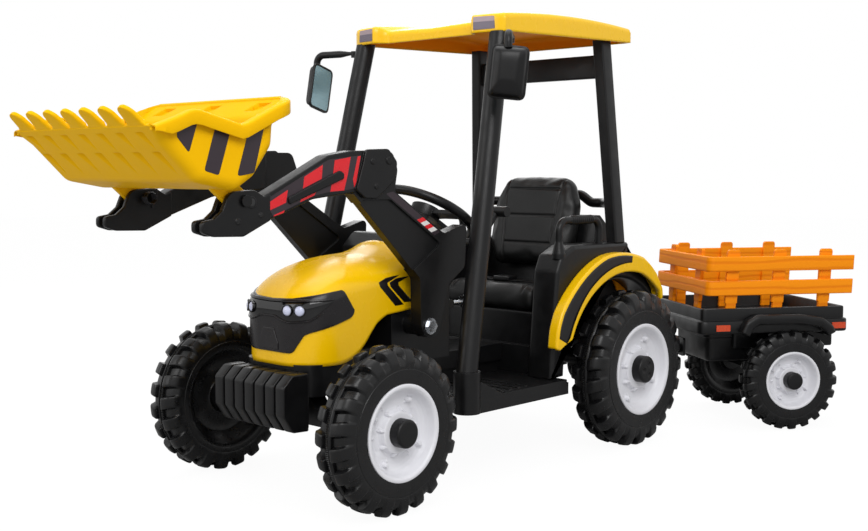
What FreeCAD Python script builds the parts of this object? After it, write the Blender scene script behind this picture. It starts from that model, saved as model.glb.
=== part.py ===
import FreeCAD, Part
import Sketcher
import math
import os
import re

# Ride on tractor with a front loader, a roof and a trailer. Lengths are millimetres.
# Tractor axes: +X to its left, +Y to the rear, +Z up, measured from the ground under the rear axle.
# Trailer axes: measured from the hitch pin, +Y to the trailer's rear.

vec = FreeCAD.Vector
doc = FreeCAD.newDocument("ride_on_tractor")
sheet = doc.addObject("Spreadsheet::Sheet", "sizes")

sizes = {
    # middle of the footprint, which is the origin of the finished part
    "footprint_mid_x": 100.605,
    "footprint_mid_y": -289.76,
    # fits
    "overrun": 2.0,
    "running_clearance": 0.1,
    "fixed_clearance": 0.05,
    "seat_gap": 0.3,
    # wheels
    "wheelbase": 827.0,
    "front_tyre_radius": 166.5,
    "front_tyre_width": 86.6,
    "front_rim_radius": 96.5,
    "front_wheel_x": 273.2,
    "rear_tyre_radius": 190.0,
    "rear_tyre_width": 92.0,
    "rear_rim_radius": 111.3,
    "rear_wheel_x": 269.0,
    "trailer_tyre_radius": 130.0,
    "trailer_tyre_width": 60.0,
    "trailer_rim_radius": 75.5,
    "trailer_wheel_x": 173.0,
    "lug_count": 21,
    "lug_slant": 9.0,
    "rim_recess": 20.0,
    "rim_proud": 2.0,
    "rim_web": 5.0,
    "rim_hub_height": 14.0,
    "rim_bolt_radius": 3.5,
    "rim_bolt_count": 8,
    "rim_nub_radius": 5.5,
    "rim_nub_count": 6,
    "hub_cap_height": 20.0,
    "axle_radius": 8.0,
    # chassis
    "beam_half_width": 66.0,
    "beam_bottom": 215.0,
    "beam_top": 255.0,
    "beam_rear": 92.0,
    "beam_nose": 62.0,
    "skirt_half_width": 108.0,
    "skirt_nose": 66.0,
    "skirt_length": 84.0,
    "skirt_top": 279.7,
    "sill_width": 20.0,
    "sill_height": 84.0,
    "front_beam_half": 178.0,
    "front_beam_depth": 40.0,
    "front_beam_height": 36.0,
    "kingpin_x": 200.0,
    "kingpin_radius": 6.0,
    "fork_reach": 16.0,
    "fork_gap": 56.0,
    "fork_wall": 12.0,
    "fork_half_depth": 16.0,
    "axle_block_half": 22.0,
    "axle_block_drop": 18.0,
    "hitch_y": 55.0,
    "hitch_half_width": 22.0,
    "hitch_plate": 10.0,
    "hitch_plate_top": 182.0,
    "hitch_web": 8.0,
    "hitch_plate_tail": 25.0,
    "hitch_pin_radius": 7.0,
    # steering
    "knuckle_radius": 15.0,
    "steer_arm_length": 60.0,
    "steer_arm_width": 12.0,
    "steer_arm_height": 10.0,
    "steer_pin_radius": 5.0,
    "steer_pin_height": 14.0,
    "tie_rod_radius": 6.0,
    "tie_eye_radius": 11.0,
    "tie_eye_height": 10.0,
    "tie_slack": 5.2,
    "steering_wheel_y": -440.0,
    "steering_wheel_z": 572.0,
    "steering_tilt": 30.0,
    "steering_wheel_radius": 116.0,
    "steering_grip_radius": 11.0,
    "steering_hub_radius": 36.0,
    "steering_hub_height": 26.0,
    "steering_spoke_width": 26.0,
    "steering_spoke_height": 10.0,
    "steering_shaft_radius": 10.0,
    "steering_shaft_length": 118.0,
    # inner pieces
    "battery_width": 100.0,
    "battery_length": 110.0,
    "battery_height": 84.0,
    "battery_fore": 800.0,
    "motor_inner_x": 118.0,
    "motor_width": 74.0,
    "motor_radius": 46.0,
    "motor_can_radius": 20.0,
    "motor_can_length": 60.0,
    "motor_can_rise": 20.0,
    # hood and nose
    "hood_half_width": 116.0,
    "hood_front": 73.0,
    "hood_length": 302.0,
    "hood_bottom": 280.0,
    "hood_height": 242.0,
    "hood_wall": 4.0,
    "hood_nose_radius": 84.0,
    "mask_thickness": 2.6,
    "headlight_radius": 11.0,
    "headlight_depth": 7.0,
    "headlight_inner_x": 63.0,
    "headlight_outer_x": 90.0,
    "headlight_z": 402.0,
    "weight_half_width": 116.0,
    "weight_depth": 62.0,
    "weight_bottom": 150.0,
    "weight_height": 118.0,
    "weight_count": 7,
    "weight_groove": 8.0,
    "weight_groove_depth": 9.0,
    # dashboard
    "dash_half_width": 112.0,
    "dash_rear_fore": 478.0,
    "dash_length": 182.0,
    "dash_height": 284.0,
    "loader_pivot_fore": 606.0,
    "loader_pivot_z": 341.0,
    "pivot_shaft_radius": 8.0,
    "pivot_boss_radius": 22.0,
    "button_x": 62.0,
    "button_z": 405.0,
    "button_radius": 10.0,
    "button_length": 14.0,
    "button_proud": 5.0,
    "lever_x": 92.0,
    "lever_z": 372.0,
    "lever_hub_radius": 10.0,
    "lever_hub_width": 12.0,
    "lever_ear": 7.0,
    "lever_reach": 14.0,
    "lever_pin_radius": 4.0,
    "lever_rod_radius": 4.5,
    "lever_rod_length": 62.0,
    "lever_knob_radius": 15.0,
    # footwell
    "floor_bottom": 176.0,
    "floor_thickness": 12.0,
    "floor_half_width": 262.0,
    "floor_fore": 562.0,
    "floor_length": 330.0,
    "floor_skirt": 21.0,
    "floor_skirt_wall": 9.0,
    "tread_count": 5,
    "tread_height": 2.0,
    "tread_width": 8.0,
    "socket_radius": 29.0,
    "socket_bottom": 161.0,
    "pedal_x": -124.0,
    "pedal_fore": 405.0,
    "pedal_width": 58.0,
    "pedal_length": 92.0,
    "pedal_plate": 8.0,
    "pedal_hub_radius": 7.0,
    "pedal_pin_radius": 3.5,
    "pedal_tilt": 32.0,
    "pedal_ear": 7.0,
    "pedal_ear_rise": 11.0,
    # rear body and seat
    "seat_well_half": 166.0,
    "side_panel_x": 238.0,
    "side_panel_fore": 358.0,
    "side_panel_length": 554.0,
    "side_panel_top": 495.0,
    "arch_radius": 216.0,
    "seat_box_fore": 225.0,
    "seat_box_top": 335.0,
    "seat_box_tail": 110.0,
    "back_wall_height": 225.0,
    "back_recline": 12.4,
    "well_wall": 12.0,
    "cushion_half_width": 158.0,
    "cushion_fore": 236.0,
    "cushion_length": 172.0,
    "cushion_height": 66.0,
    "seat_back_half_width": 146.0,
    "seat_back_bottom": 430.0,
    "seat_back_y": -81.0,
    "seat_back_height": 243.0,
    "seat_back_depth": 58.0,
    "channel_depth": 4.0,
    "channel_width": 5.0,
    "belt_width": 30.0,
    "belt_thickness": 2.0,
    "belt_fore": 150.0,
    "buckle_length": 52.0,
    "buckle_width": 38.0,
    "buckle_height": 13.0,
    # fenders and handles
    "fender_centre_y": -20.0,
    "fender_centre_z": 165.0,
    "fender_radius": 250.0,
    "fender_rise": 52.0,
    "fender_flare": 26.0,
    "fender_wall": 6.0,
    "fender_start": 30.0,
    "fender_sweep": 126.0,
    "handle_x": 222.0,
    "handle_radius": 9.0,
    "handle_front_fore": 246.0,
    "handle_rear_fore": 62.0,
    "handle_height": 68.0,
    "handle_bend": 26.0,
    # roof and posts
    "post_radius": 23.0,
    "front_post_base_x": 256.0,
    "front_post_base_fore": 579.0,
    "front_post_base_z": 250.0,
    "front_post_top_x": 212.0,
    "front_post_top_fore": 424.0,
    "front_post_top_z": 974.0,
    "mirror_ear_reach": 34.0,
    "mirror_ear_radius": 8.0,
    "mirror_ear_z": 946.0,
    "mirror_ear_thickness": 5.0,
    "mirror_pin_radius": 3.0,
    "mirror_eye_height": 10.0,
    "rear_post_base_x": 221.0,
    "rear_post_base_y": 11.0,
    "rear_post_top_x": 195.6,
    "rear_post_top_y": -23.0,
    "rear_post_top_z": 986.0,
    "rear_post_width": 30.0,
    "rear_post_depth": 40.0,
    "crossbar_z": 896.0,
    "crossbar_height": 56.0,
    "crossbar_depth": 20.0,
    "rail_z": 592.0,
    "rail_radius": 10.0,
    "rail_set_back": 36.0,
    "roof_half_width": 236.0,
    "roof_fore": 454.0,
    "roof_length": 502.0,
    "roof_bottom": 974.0,
    "roof_height": 54.0,
    "roof_wall": 4.0,
    "roof_lamp_x": 190.0,
    "roof_lamp_width": 60.0,
    "roof_lamp_height": 24.0,
    "roof_lamp_depth": 6.0,
    "roof_lamp_rise": 5.0,
    # mirrors
    "mirror_arm_length": 112.0,
    "mirror_arm_radius": 6.0,
    "mirror_bend": 18.0,
    "mirror_width": 88.0,
    "mirror_height": 125.0,
    "mirror_depth": 28.0,
    "mirror_drop": 22.0,
    "mirror_border": 5.0,
    "mirror_glass_thickness": 2.5,
    "left_mirror_swivel": -53.0,
    "right_mirror_swivel": 13.0,
    # loader
    "arm_x": 159.2,
    "arm_width": 34.0,
    "arm_reach": 584.0,
    "arm_rise": 370.0,
    "arm_rear_wall": 30.0,
    "arm_recess": 5.0,
    "elbow_plate": 6.0,
    "elbow_bolt_radius": 7.0,
    "fork_slot": 14.0,
    "bucket_pivot_reach": 489.0,
    "bucket_pivot_rise": 276.0,
    "bucket_pin_radius": 7.0,
    "bucket_pin_head": 11.0,
    "bucket_pin_head_height": 6.0,
    "hand_lever_radius": 8.0,
    "hand_lever_bend": 60.0,
    "hand_grip_radius": 12.0,
    "hand_grip_length": 62.0,
    "hand_grip_set_back": 236.0,
    "hand_grip_rise": 238.0,
    "nut_radius": 14.0,
    "nut_height": 9.0,
    "washer_height": 3.0,
    # bucket
    "bucket_half_width": 225.0,
    "bucket_reach": 218.0,
    "bucket_height": 188.0,
    "bucket_wall": 5.0,
    "bucket_flange": 12.0,
    "tooth_pitch": 61.3,
    "tooth_count": 7,
    "tooth_width": 31.0,
    "tooth_length": 46.0,
    "tooth_thickness": 9.0,
    "bucket_rib_height": 7.0,
    "bucket_slot_pitch": 151.0,
    "bucket_slot_width": 62.0,
    "bucket_lug_width": 12.0,
    "bucket_lug_radius": 16.0,
    "spring_wire": 2.4,
    "spring_radius": 11.5,
    "spring_pitch": 3.4,
    "spring_turns": 5,
    "spring_leg": 46.0,
    # trailer
    "trailer_yaw": -35.0,
    "bed_half_width": 182.0,
    "bed_front": 330.0,
    "bed_length": 417.0,
    "bed_rim_top": 318.0,
    "bed_step": 286.0,
    "bed_step_inset": 8.0,
    "bed_skirt_bottom": 253.0,
    "bed_floor": 282.0,
    "bed_floor_thickness": 8.0,
    "bed_wall": 7.0,
    "tub_half_width": 104.0,
    "tub_front": 354.0,
    "tub_length": 152.0,
    "tub_bottom": 170.0,
    "trailer_axle_y": 580.0,
    "hanger_x": 108.0,
    "hanger_width": 10.0,
    "hanger_half_length": 20.0,
    "wheel_arch_radius": 140.0,
    "wheel_arch_wall": 13.0,
    "wheel_arch_outer_x": 206.0,
    "drawbar_half_width": 13.0,
    "drawbar_height": 24.0,
    "drawbar_flange": 6.0,
    "drawbar_flange_half": 36.0,
    "eye_radius": 18.0,
    "fence_half_width": 172.0,
    "fence_front": 350.0,
    "fence_length": 414.0,
    "fence_rail": 10.0,
    "fence_post": 10.0,
    "fence_post_width": 34.0,
    "fence_top": 468.0,
    "fence_high_rail": 413.0,
    "fence_low_rail": 351.0,
    "fence_rail_height": 38.0,
    "fence_front_post_x": 84.0,
    "fence_side_post_pitch": 130.0,
    "reflector_length": 38.0,
    "reflector_height": 16.0,
    "reflector_depth": 3.0,
    "reflector_z": 261.0,
    "tail_lamp_x": 128.0,
    "tail_lamp_depth": 12.0,
}

for row, (name, value) in enumerate(sizes.items(), start=1):
    sheet.set("A%d" % row, name)
    sheet.set("B%d" % row, str(value))
    sheet.setAlias("B%d" % row, name)
doc.recompute()

nodes = []


def size(name):
    return float(sheet.get(name))


def prefixed(word):
    return "sizes." + word if word in sizes else word


def bind(target, prop, text):
    # every word that is a size in the sheet becomes a reference to its cell
    named = re.sub(r"[a-z_]+", lambda word: prefixed(word.group(0)), text)
    target.setExpression(prop, named)


def as_node(item, label):
    item.Label = label
    nodes.append(item)
    return item


def new_body(name):
    return doc.addObject("PartDesign::Body", name)


def origin_part(body, role):
    return [part for part in body.Origin.OriginFeatures if part.Role == role][0]


def on_tractor(item, x="0", y="0", z="0"):
    bind(item, "Placement.Base.x", "%s - footprint_mid_x" % x)
    bind(item, "Placement.Base.y", "%s - footprint_mid_y" % y)
    bind(item, "Placement.Base.z", z)
    return item


def on_trailer(item, x="0", y="0", z="0", extra_turn="0"):
    along_x = "(%s) * cos(trailer_yaw) - (%s) * sin(trailer_yaw)" % (x, y)
    along_y = "(%s) * sin(trailer_yaw) + (%s) * cos(trailer_yaw) + hitch_y" % (x, y)
    item.Placement = FreeCAD.Placement(vec(), FreeCAD.Rotation(vec(0, 0, 1), size("trailer_yaw")))
    bind(item, "Placement.Base.x", "%s - footprint_mid_x" % along_x)
    bind(item, "Placement.Base.y", "%s - footprint_mid_y" % along_y)
    bind(item, "Placement.Base.z", z)
    bind(item, "Placement.Rotation.Angle", "trailer_yaw + %s" % extra_turn)
    return item


def mirrored(source, name):
    # the same piece on the tractor's other side
    twin = doc.addObject("Part::Mirroring", name)
    twin.Source = source
    twin.Normal = vec(1, 0, 0)
    bind(twin, "Base.x", "-footprint_mid_x")
    return twin


def group(label, items):
    whole = doc.addObject("Part::Compound", label)
    whole.Links = items
    return as_node(whole, label)


def turned_pair(source, label):
    # a second wheel piece, turned half way round to face the other side
    twin = doc.addObject("Part::Feature", label)
    doc.recompute()
    shape = source.Shape.copy()
    shape.Placement = FreeCAD.Placement()
    twin.Shape = shape
    twin.Placement = FreeCAD.Placement(vec(), FreeCAD.Rotation(vec(0, 0, 1), math.degrees(math.pi)))
    return as_node(twin, label)


def trace(shares, origin, span):
    # outline corners from shares of a width and a height, with a corner radius as a share of the smaller
    least = min(abs(span[0]), abs(span[1]))
    corners = []
    for across, up, *turn in shares:
        radius = turn[0] * least if turn else 0
        corners.append((origin[0] + across * span[0], origin[1] + up * span[1], radius))
    return corners


def block(low, high, radius=0):
    return [(low[0], low[1], radius), (high[0], low[1], radius), (high[0], high[1], radius), (low[0],
                                                                                              high[1],
                                                                                              radius)]


def edges_of(corners):
    # straight edges with tangent arcs at the corners that have a radius
    points = [vec(corner[0], corner[1], 0) for corner in corners]
    radii = [corner[2] if len(corner) > 2 else 0 for corner in corners]
    count = len(points)
    cuts = []
    arcs = []
    for i, point in enumerate(points):
        before = (points[i - 1] - point)
        after = (points[(i + 1) % count] - point)
        half = before.getAngle(after) / 2
        room = min(before.Length, after.Length) / 2
        setback = min(radii[i] / math.tan(half), room) if radii[i] > 0 else 0
        start = point + before.normalize() * setback
        end = point + after.normalize() * setback
        cuts.append((start, end))
        if setback > 0:
            radius = setback * math.tan(half)
            bisector = (before + after).normalize()
            middle = point + bisector * (radius / math.sin(half) - radius)
            arcs.append(Part.Arc(start, middle, end))
        else:
            arcs.append(None)
    edges = []
    for i in range(count):
        if arcs[i]:
            edges.append(arcs[i])
        start = cuts[i][1]
        end = cuts[(i + 1) % count][0]
        if not start.isEqual(end, size("fixed_clearance") / 1000):
            edges.append(Part.LineSegment(start, end))
    return edges


def sketch_on(body, plane, start):
    sketch = body.newObject("Sketcher::SketchObject", "outline")
    sketch.AttachmentSupport = [(origin_part(body, plane.upper() + "_Plane"), "")]
    sketch.MapMode = "FlatFace"
    bind(sketch, "AttachmentOffset.Base.z", "-(%s)" % start if plane == "xz" else start)
    return sketch


def finish_feature(body, kind, sketch, length, plane):
    feature = body.newObject("PartDesign::" + kind, kind.lower())
    feature.Profile = sketch
    feature.Reversed = (plane == "xz") == (kind == "Pad")
    bind(feature, "Length", length)
    return feature


def pad(body, plane, start, length, *outlines):
    sketch = sketch_on(body, plane, start)
    for outline in outlines:
        sketch.addGeometry(edges_of(outline))
    return finish_feature(body, "Pad", sketch, length, plane)


def cut(body, plane, start, length, *outlines):
    sketch = sketch_on(body, plane, start)
    for outline in outlines:
        sketch.addGeometry(edges_of(outline))
    return finish_feature(body, "Pocket", sketch, length, plane)


def circle_sketch(body, plane, start, centre, radius):
    sketch = sketch_on(body, plane, start)
    sketch.addGeometry(Part.Circle(vec(centre[0], centre[1], 0), vec(0, 0, 1), 1))
    sketch.addConstraint(Sketcher.Constraint("Radius", 0, 1))
    bind(sketch, "Constraints[0]", radius)
    return sketch


def disc(body, plane, start, length, centre, radius):
    return finish_feature(body, "Pad", circle_sketch(body, plane, start, centre, radius), length, plane)


def bore(body, plane, start, length, centre, radius):
    return finish_feature(body, "Pocket", circle_sketch(body, plane, start, centre, radius), length, plane)


def spin(body, corners):
    # a round piece about its own X axis, from an outline of axial and radial places
    sketch = sketch_on(body, "xy", "0")
    sketch.addGeometry(edges_of(corners))
    feature = body.newObject("PartDesign::Revolution", "turned")
    feature.Profile = sketch
    feature.ReferenceAxis = (sketch, ["H_Axis"])
    return feature


def repeat_round(body, feature, count, axis="X_Axis"):
    pattern = body.newObject("PartDesign::PolarPattern", "ring")
    pattern.Originals = [feature]
    pattern.Axis = (origin_part(body, axis), [""])
    pattern.Angle = math.degrees(2 * math.pi)
    bind(pattern, "Occurrences", count)
    body.Tip = pattern
    return pattern


def repeat_along(body, feature, count, length, axis):
    pattern = body.newObject("PartDesign::LinearPattern", "row")
    pattern.Originals = [feature]
    pattern.Direction = (origin_part(body, axis), [""])
    bind(pattern, "Length", length)
    bind(pattern, "Occurrences", count)
    body.Tip = pattern
    return pattern


def loft(body, plane, sections, remove=False):
    # straight-walled loft through outlines at several levels
    sketches = []
    for level, outline in sections:
        sketch = body.newObject("Sketcher::SketchObject", "section")
        sketch.AttachmentSupport = [(origin_part(body, plane.upper() + "_Plane"), "")]
        sketch.MapMode = "FlatFace"
        lift = -level if plane == "xz" else level
        sketch.AttachmentOffset = FreeCAD.Placement(vec(0, 0, lift), FreeCAD.Rotation())
        sketch.addGeometry(edges_of(outline))
        sketches.append(sketch)
    feature = body.newObject("PartDesign::SubtractiveLoft" if remove else "PartDesign::AdditiveLoft",
                             "loft")
    feature.Profile = sketches[0]
    feature.Sections = sketches[1:]
    feature.Ruled = True
    return feature


def inset(corners, middle, half_span, amount):
    # the outline drawn in towards its middle by an amount at its widest
    scale_x = 1 - amount / half_span[0]
    scale_y = 1 - amount / half_span[1]
    least = min(scale_x, scale_y)
    return [(middle[0] + (c[0] - middle[0]) * scale_x, middle[1] + (c[1] - middle[1]) * scale_y,
             c[2] * least)
            for c in corners]


def tube(route, radius):
    # a round bar along straight runs with tangent arcs, each route point being (x, y, z, bend radius)
    points = [vec(*point[:3]) for point in route]
    bends = [point[3] for point in route]
    edges = []
    last = points[0]
    for i in range(1, len(points) - 1):
        before = (points[i - 1] - points[i]).normalize()
        after = (points[i + 1] - points[i]).normalize()
        half = before.getAngle(after) / 2
        setback = bends[i] / math.tan(half)
        start = points[i] + before * setback
        end = points[i] + after * setback
        middle = points[i] + (before + after).normalize() * (bends[i] / math.sin(half) - bends[i])
        edges.append(Part.LineSegment(last, start).toShape())
        edges.append(Part.Arc(start, middle, end).toShape())
        last = end
    edges.append(Part.LineSegment(last, points[-1]).toShape())
    path = Part.Wire(edges)
    ring = Part.Wire(Part.Circle(points[0], points[1] - points[0], radius).toShape())
    return path.makePipeShell([ring], True, False)


# wheels

tyre_shares = (
    (-0.36, 0.21), (-0.12, 0.23, 0.05), (-0.12, 0.50, 0.05), (-0.42, 0.62, 0.06), (-0.50, 0.68, 0.06),
    (-0.50, 0.79, 0.08), (-0.38, 0.895, 0.10), (-0.07, 0.92), (-0.07, 0.935), (0.07, 0.935), (0.07, 0.92),
    (0.38, 0.895, 0.10), (0.50, 0.79, 0.08))
lug_shares = (
    (0.055, 0.84), (0.055, 0.985), (0.075, 1.0), (0.33, 1.0), (0.42, 0.955, 0.05), (0.505, 0.80),
    (0.505, 0.70), (0.36, 0.72))
lug_width_share = 0.118
lug_stagger_share = 0.998
rim_lip_share = 0.92
rim_dish_share = 0.85
rim_hub_share = 0.46
rim_bolt_share = 0.395
rim_nub_share = 0.66
cap_share = 0.33


def tyre(kind, label):
    radius = size(kind + "_tyre_radius")
    width = size(kind + "_tyre_width")
    hole = size("axle_radius") + size("running_clearance")
    seat = width / 2 - size("rim_recess")
    body = new_body(label)
    corners = trace(tyre_shares, (0, 0), (width, radius))
    hub_end = corners[0][0]
    rim = size(kind + "_rim_radius")
    spin(body, [(hub_end, hole)] + corners + [(width / 2, rim), (seat, rim), (seat, hole)])
    for side, up in ((1, -1), (-1, lug_stagger_share)):
        sketch = sketch_on(body, "xz", "0")
        slant = FreeCAD.Rotation(vec(0, 1, 0), size("lug_slant"))
        sketch.AttachmentOffset = FreeCAD.Placement(vec(), slant)
        sketch.addGeometry(edges_of(trace(lug_shares, (0, 0), (side * width, up * radius))))
        lug = body.newObject("PartDesign::Pad", "lug")
        lug.Profile = sketch
        lug.SideType = "Symmetric"
        bind(lug, "Length", "%s_tyre_radius * %s" % (kind, lug_width_share))
        repeat_round(body, lug, "lug_count")
    return as_node(body, label)


def rim_cover(kind, label, with_cap):
    width = size(kind + "_tyre_width")
    radius = size(kind + "_rim_radius") - size("seat_gap")
    hole = size("axle_radius") + size("running_clearance")
    back = width / 2 - size("rim_recess")
    web = back + size("rim_web")
    lip = width / 2 + size("rim_proud")
    hub = back + size("rim_hub_height")
    fillet = size("rim_web")
    body = new_body(label)
    spin(body, [(back, hole), (back, radius), (lip, radius, size("rim_proud")),
                (lip, rim_lip_share * radius, fillet), (web, rim_dish_share * radius, fillet),
                (web, rim_hub_share * radius, fillet), (hub, rim_hub_share * radius, fillet), (hub, hole)])
    web_at = "%s_tyre_width / 2 - rim_recess + rim_web" % kind
    hub_at = "%s_tyre_width / 2 - rim_recess + rim_hub_height" % kind
    bolt = disc(body, "yz", hub_at, "rim_web", (0, rim_bolt_share * radius), "rim_bolt_radius")
    repeat_round(body, bolt, "rim_bolt_count")
    nub = disc(body, "yz", web_at, "rim_web", (0, rim_nub_share * radius), "rim_nub_radius")
    repeat_round(body, nub, "rim_nub_count")
    if with_cap:
        disc(body, "yz", hub_at, "hub_cap_height", (0, 0), "%s * %s_rim_radius" % (cap_share, kind))
    return as_node(body, label)


def hub_cap(kind, label):
    radius = cap_share * size(kind + "_rim_radius")
    back = size(kind + "_tyre_width") / 2 - size("rim_recess") + size("rim_hub_height")
    front = back + size("hub_cap_height")
    step = size("rim_web")
    body = new_body(label)
    spin(body, [(back, 0), (back, radius), (front - step, radius), (front, radius - step), (front, 0)])
    return as_node(body, label)


def tractor_wheel(kind, y):
    pieces = [("tyre", tyre), ("rim", lambda k, n: rim_cover(k, n, False)), ("hub_cap", hub_cap)]
    for piece, maker in pieces:
        left = maker(kind, "%s_left_%s" % (kind, piece))
        on_tractor(left, "%s_wheel_x" % kind, y, "%s_tyre_radius" % kind)
        right = turned_pair(left, "%s_right_%s" % (kind, piece))
        on_tractor(right, "-%s_wheel_x" % kind, y, "%s_tyre_radius" % kind)


def trailer_wheel():
    pieces = [("tyre", tyre), ("rim", lambda k, n: rim_cover(k, n, True))]
    half_turn = str(math.degrees(math.pi))
    for piece, maker in pieces:
        left = maker("trailer", "trailer_left_%s" % piece)
        on_trailer(left, "trailer_wheel_x", "trailer_axle_y", "trailer_tyre_radius")
        right = turned_pair(left, "trailer_right_%s" % piece)
        on_trailer(right, "-trailer_wheel_x", "trailer_axle_y", "trailer_tyre_radius", half_turn)


# chassis and running gear

front_beam_shares = (
    (-1, 0), (1, 0), (1, 0.8), (0.45, 1), (0.3, 1.9), (-0.3, 1.9), (-0.45, 1), (-1, 0.8))


def chassis():
    body = new_body("chassis")
    axle_y = -size("wheelbase")
    axle_z = size("front_tyre_radius")
    bottom = size("beam_bottom")
    pad(body, "yz", "-beam_half_width", "2 * beam_half_width",
        block((axle_y - size("beam_nose"), bottom), (size("beam_rear"), size("beam_top"))))
    skirt = size("skirt_half_width")
    nose = axle_y - size("skirt_nose")
    tail = nose + size("skirt_length")
    round_nose = size("hood_nose_radius") - (size("hood_half_width") - skirt)
    pad(body, "xy", "beam_bottom", "skirt_top - beam_bottom",
        [(-skirt, nose, round_nose), (skirt, nose, round_nose), (skirt, tail), (-skirt, tail)])
    sill = skirt - size("sill_width")
    dash_front = -size("dash_rear_fore") - size("dash_length")
    pad(body, "xy", "beam_bottom", "sill_height",
        block((sill, tail - size("overrun")), (skirt, dash_front)))
    pad(body, "xy", "beam_bottom", "sill_height",
        block((-skirt, tail - size("overrun")), (-sill, dash_front)))
    beam_low = axle_z - size("front_beam_height") / 2
    pad(body, "xz", "-wheelbase - front_beam_depth / 2", "front_beam_depth",
        trace(front_beam_shares, (0, beam_low), (size("front_beam_half"), size("front_beam_height"))))
    gap = size("fork_gap") / 2
    reach = gap + size("fork_wall")
    inner = size("front_beam_half") - size("fork_wall") / 2
    web = inner + size("fork_wall")
    outer = size("kingpin_x") + size("fork_reach")
    for side in (1, -1):
        fork = [(inner, -reach), (outer, -reach), (outer, -gap), (web, -gap),
                (web, gap), (outer, gap), (outer, reach), (inner, reach)]
        pad(body, "xz", "-wheelbase - fork_half_depth", "2 * fork_half_depth",
            [(side * x, axle_z + z) for x, z in fork])
        disc(body, "xy", "front_tyre_radius - fork_gap / 2 - fork_wall / 2", "fork_gap + fork_wall",
             (side * size("kingpin_x"), axle_y), "kingpin_radius")
    drop = size("rear_tyre_radius") - size("axle_block_drop")
    reach = size("axle_block_half")
    pad(body, "yz", "-beam_half_width", "2 * beam_half_width",
        block((-reach, drop), (reach, bottom + size("overrun"))))
    bore(body, "yz", "-beam_half_width - overrun", "2 * beam_half_width + 2 * overrun",
         (0, size("rear_tyre_radius")), "axle_radius + fixed_clearance")
    plate_top = size("hitch_plate_top")
    plate_low = plate_top - size("hitch_plate")
    web_y = reach + size("hitch_web")
    plate_end = size("hitch_y") + size("hitch_plate_tail")
    pad(body, "yz", "-hitch_half_width", "2 * hitch_half_width",
        [(reach - size("overrun"), plate_low), (plate_end, plate_low), (plate_end, plate_top),
         (web_y, plate_top), (web_y, bottom + size("overrun")), (reach - size("overrun"),
                                                                 bottom + size("overrun"))])
    disc(body, "xy", "hitch_plate_top - hitch_plate / 2", "beam_bottom - hitch_plate_top + hitch_plate",
         (0, size("hitch_y")), "hitch_pin_radius")
    return on_tractor(as_node(body, "chassis"))


def knuckles():
    body = new_body("left_knuckle")
    pin_x = size("kingpin_x")
    axle_y = -size("wheelbase")
    centre_z = size("front_tyre_radius")
    disc(body, "xy", "front_tyre_radius - fork_gap / 2 + seat_gap", "fork_gap - 2 * seat_gap",
         (pin_x, axle_y), "knuckle_radius")
    axle_end = "front_wheel_x + front_tyre_width / 2 - rim_recess + rim_hub_height - seat_gap"
    disc(body, "yz", "kingpin_x", axle_end + " - kingpin_x", (axle_y, centre_z), "axle_radius")
    half = size("steer_arm_width") / 2
    arm_end = axle_y + size("steer_arm_length")
    pad(body, "xy", "front_tyre_radius - steer_arm_height / 2", "steer_arm_height",
        [(pin_x - half, axle_y), (pin_x + half, axle_y), (pin_x + half, arm_end + half, half),
         (pin_x - half, arm_end + half, half)])
    disc(body, "xy", "front_tyre_radius", "steer_arm_height / 2 + steer_pin_height",
         (pin_x, arm_end), "steer_pin_radius")
    bore(body, "xy", "front_tyre_radius - fork_gap", "2 * fork_gap", (pin_x, axle_y),
         "kingpin_radius + running_clearance")
    on_tractor(as_node(body, "left_knuckle"))
    as_node(mirrored(body, "right_knuckle"), "right_knuckle")


def tie_rod():
    # the eyes are long across the rod's travel because the steering pins swing on arcs
    body = new_body("tie_rod")
    pin_x = size("kingpin_x")
    rod_y = -size("wheelbase") + size("steer_arm_length")
    disc(body, "yz", "-kingpin_x", "2 * kingpin_x",
         (rod_y, size("front_tyre_radius") + size("steer_arm_height") / 2 + size("seat_gap")
          + size("tie_eye_height") / 2), "tie_rod_radius - tie_eye_height / 10")
    start = "front_tyre_radius + steer_arm_height / 2 + seat_gap"
    reach = size("tie_eye_radius") + size("tie_slack")
    for side in (1, -1):
        middle = side * pin_x
        pad(body, "xy", start, "tie_eye_height",
            block((middle - reach, rod_y - reach), (middle + reach, rod_y + reach),
                  size("tie_eye_radius")))
        slot = size("steer_pin_radius") + size("tie_slack")
        cut(body, "xy", start + " - overrun", "tie_eye_height + 2 * overrun",
            block((middle - slot, rod_y - slot), (middle + slot, rod_y + slot), size("steer_pin_radius")))
    return on_tractor(as_node(body, "tie_rod"))


def rear_axle():
    axle = doc.addObject("Part::Cylinder", "rear_axle")
    axle.Placement = FreeCAD.Placement(vec(), FreeCAD.Rotation(vec(0, 1, 0), vec(1, 0, 0).getAngle(vec(0,
                                                                                                       0,
                                                                                                       1))
                                                               * math.degrees(1)))
    bind(axle, "Radius", "axle_radius")
    reach = "(rear_wheel_x + rear_tyre_width / 2 - rim_recess + rim_hub_height - seat_gap)"
    bind(axle, "Height", "2 * " + reach)
    on_tractor(axle, "-" + reach, "0", "rear_tyre_radius")
    return as_node(axle, "rear_axle")


def drive_motors():
    body = new_body("left_motor")
    axle_z = size("rear_tyre_radius")
    disc(body, "yz", "motor_inner_x", "motor_width", (0, axle_z), "motor_radius")
    can_z = axle_z + size("motor_can_rise")
    disc(body, "yz", "motor_inner_x", "motor_can_length", (-size("motor_radius"), can_z),
         "motor_can_radius")
    bore(body, "yz", "motor_inner_x - overrun", "motor_width + 2 * overrun", (0, axle_z),
         "axle_radius + fixed_clearance")
    on_tractor(body)
    return group("drive_motors", [body, mirrored(body, "right_motor")])


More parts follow.
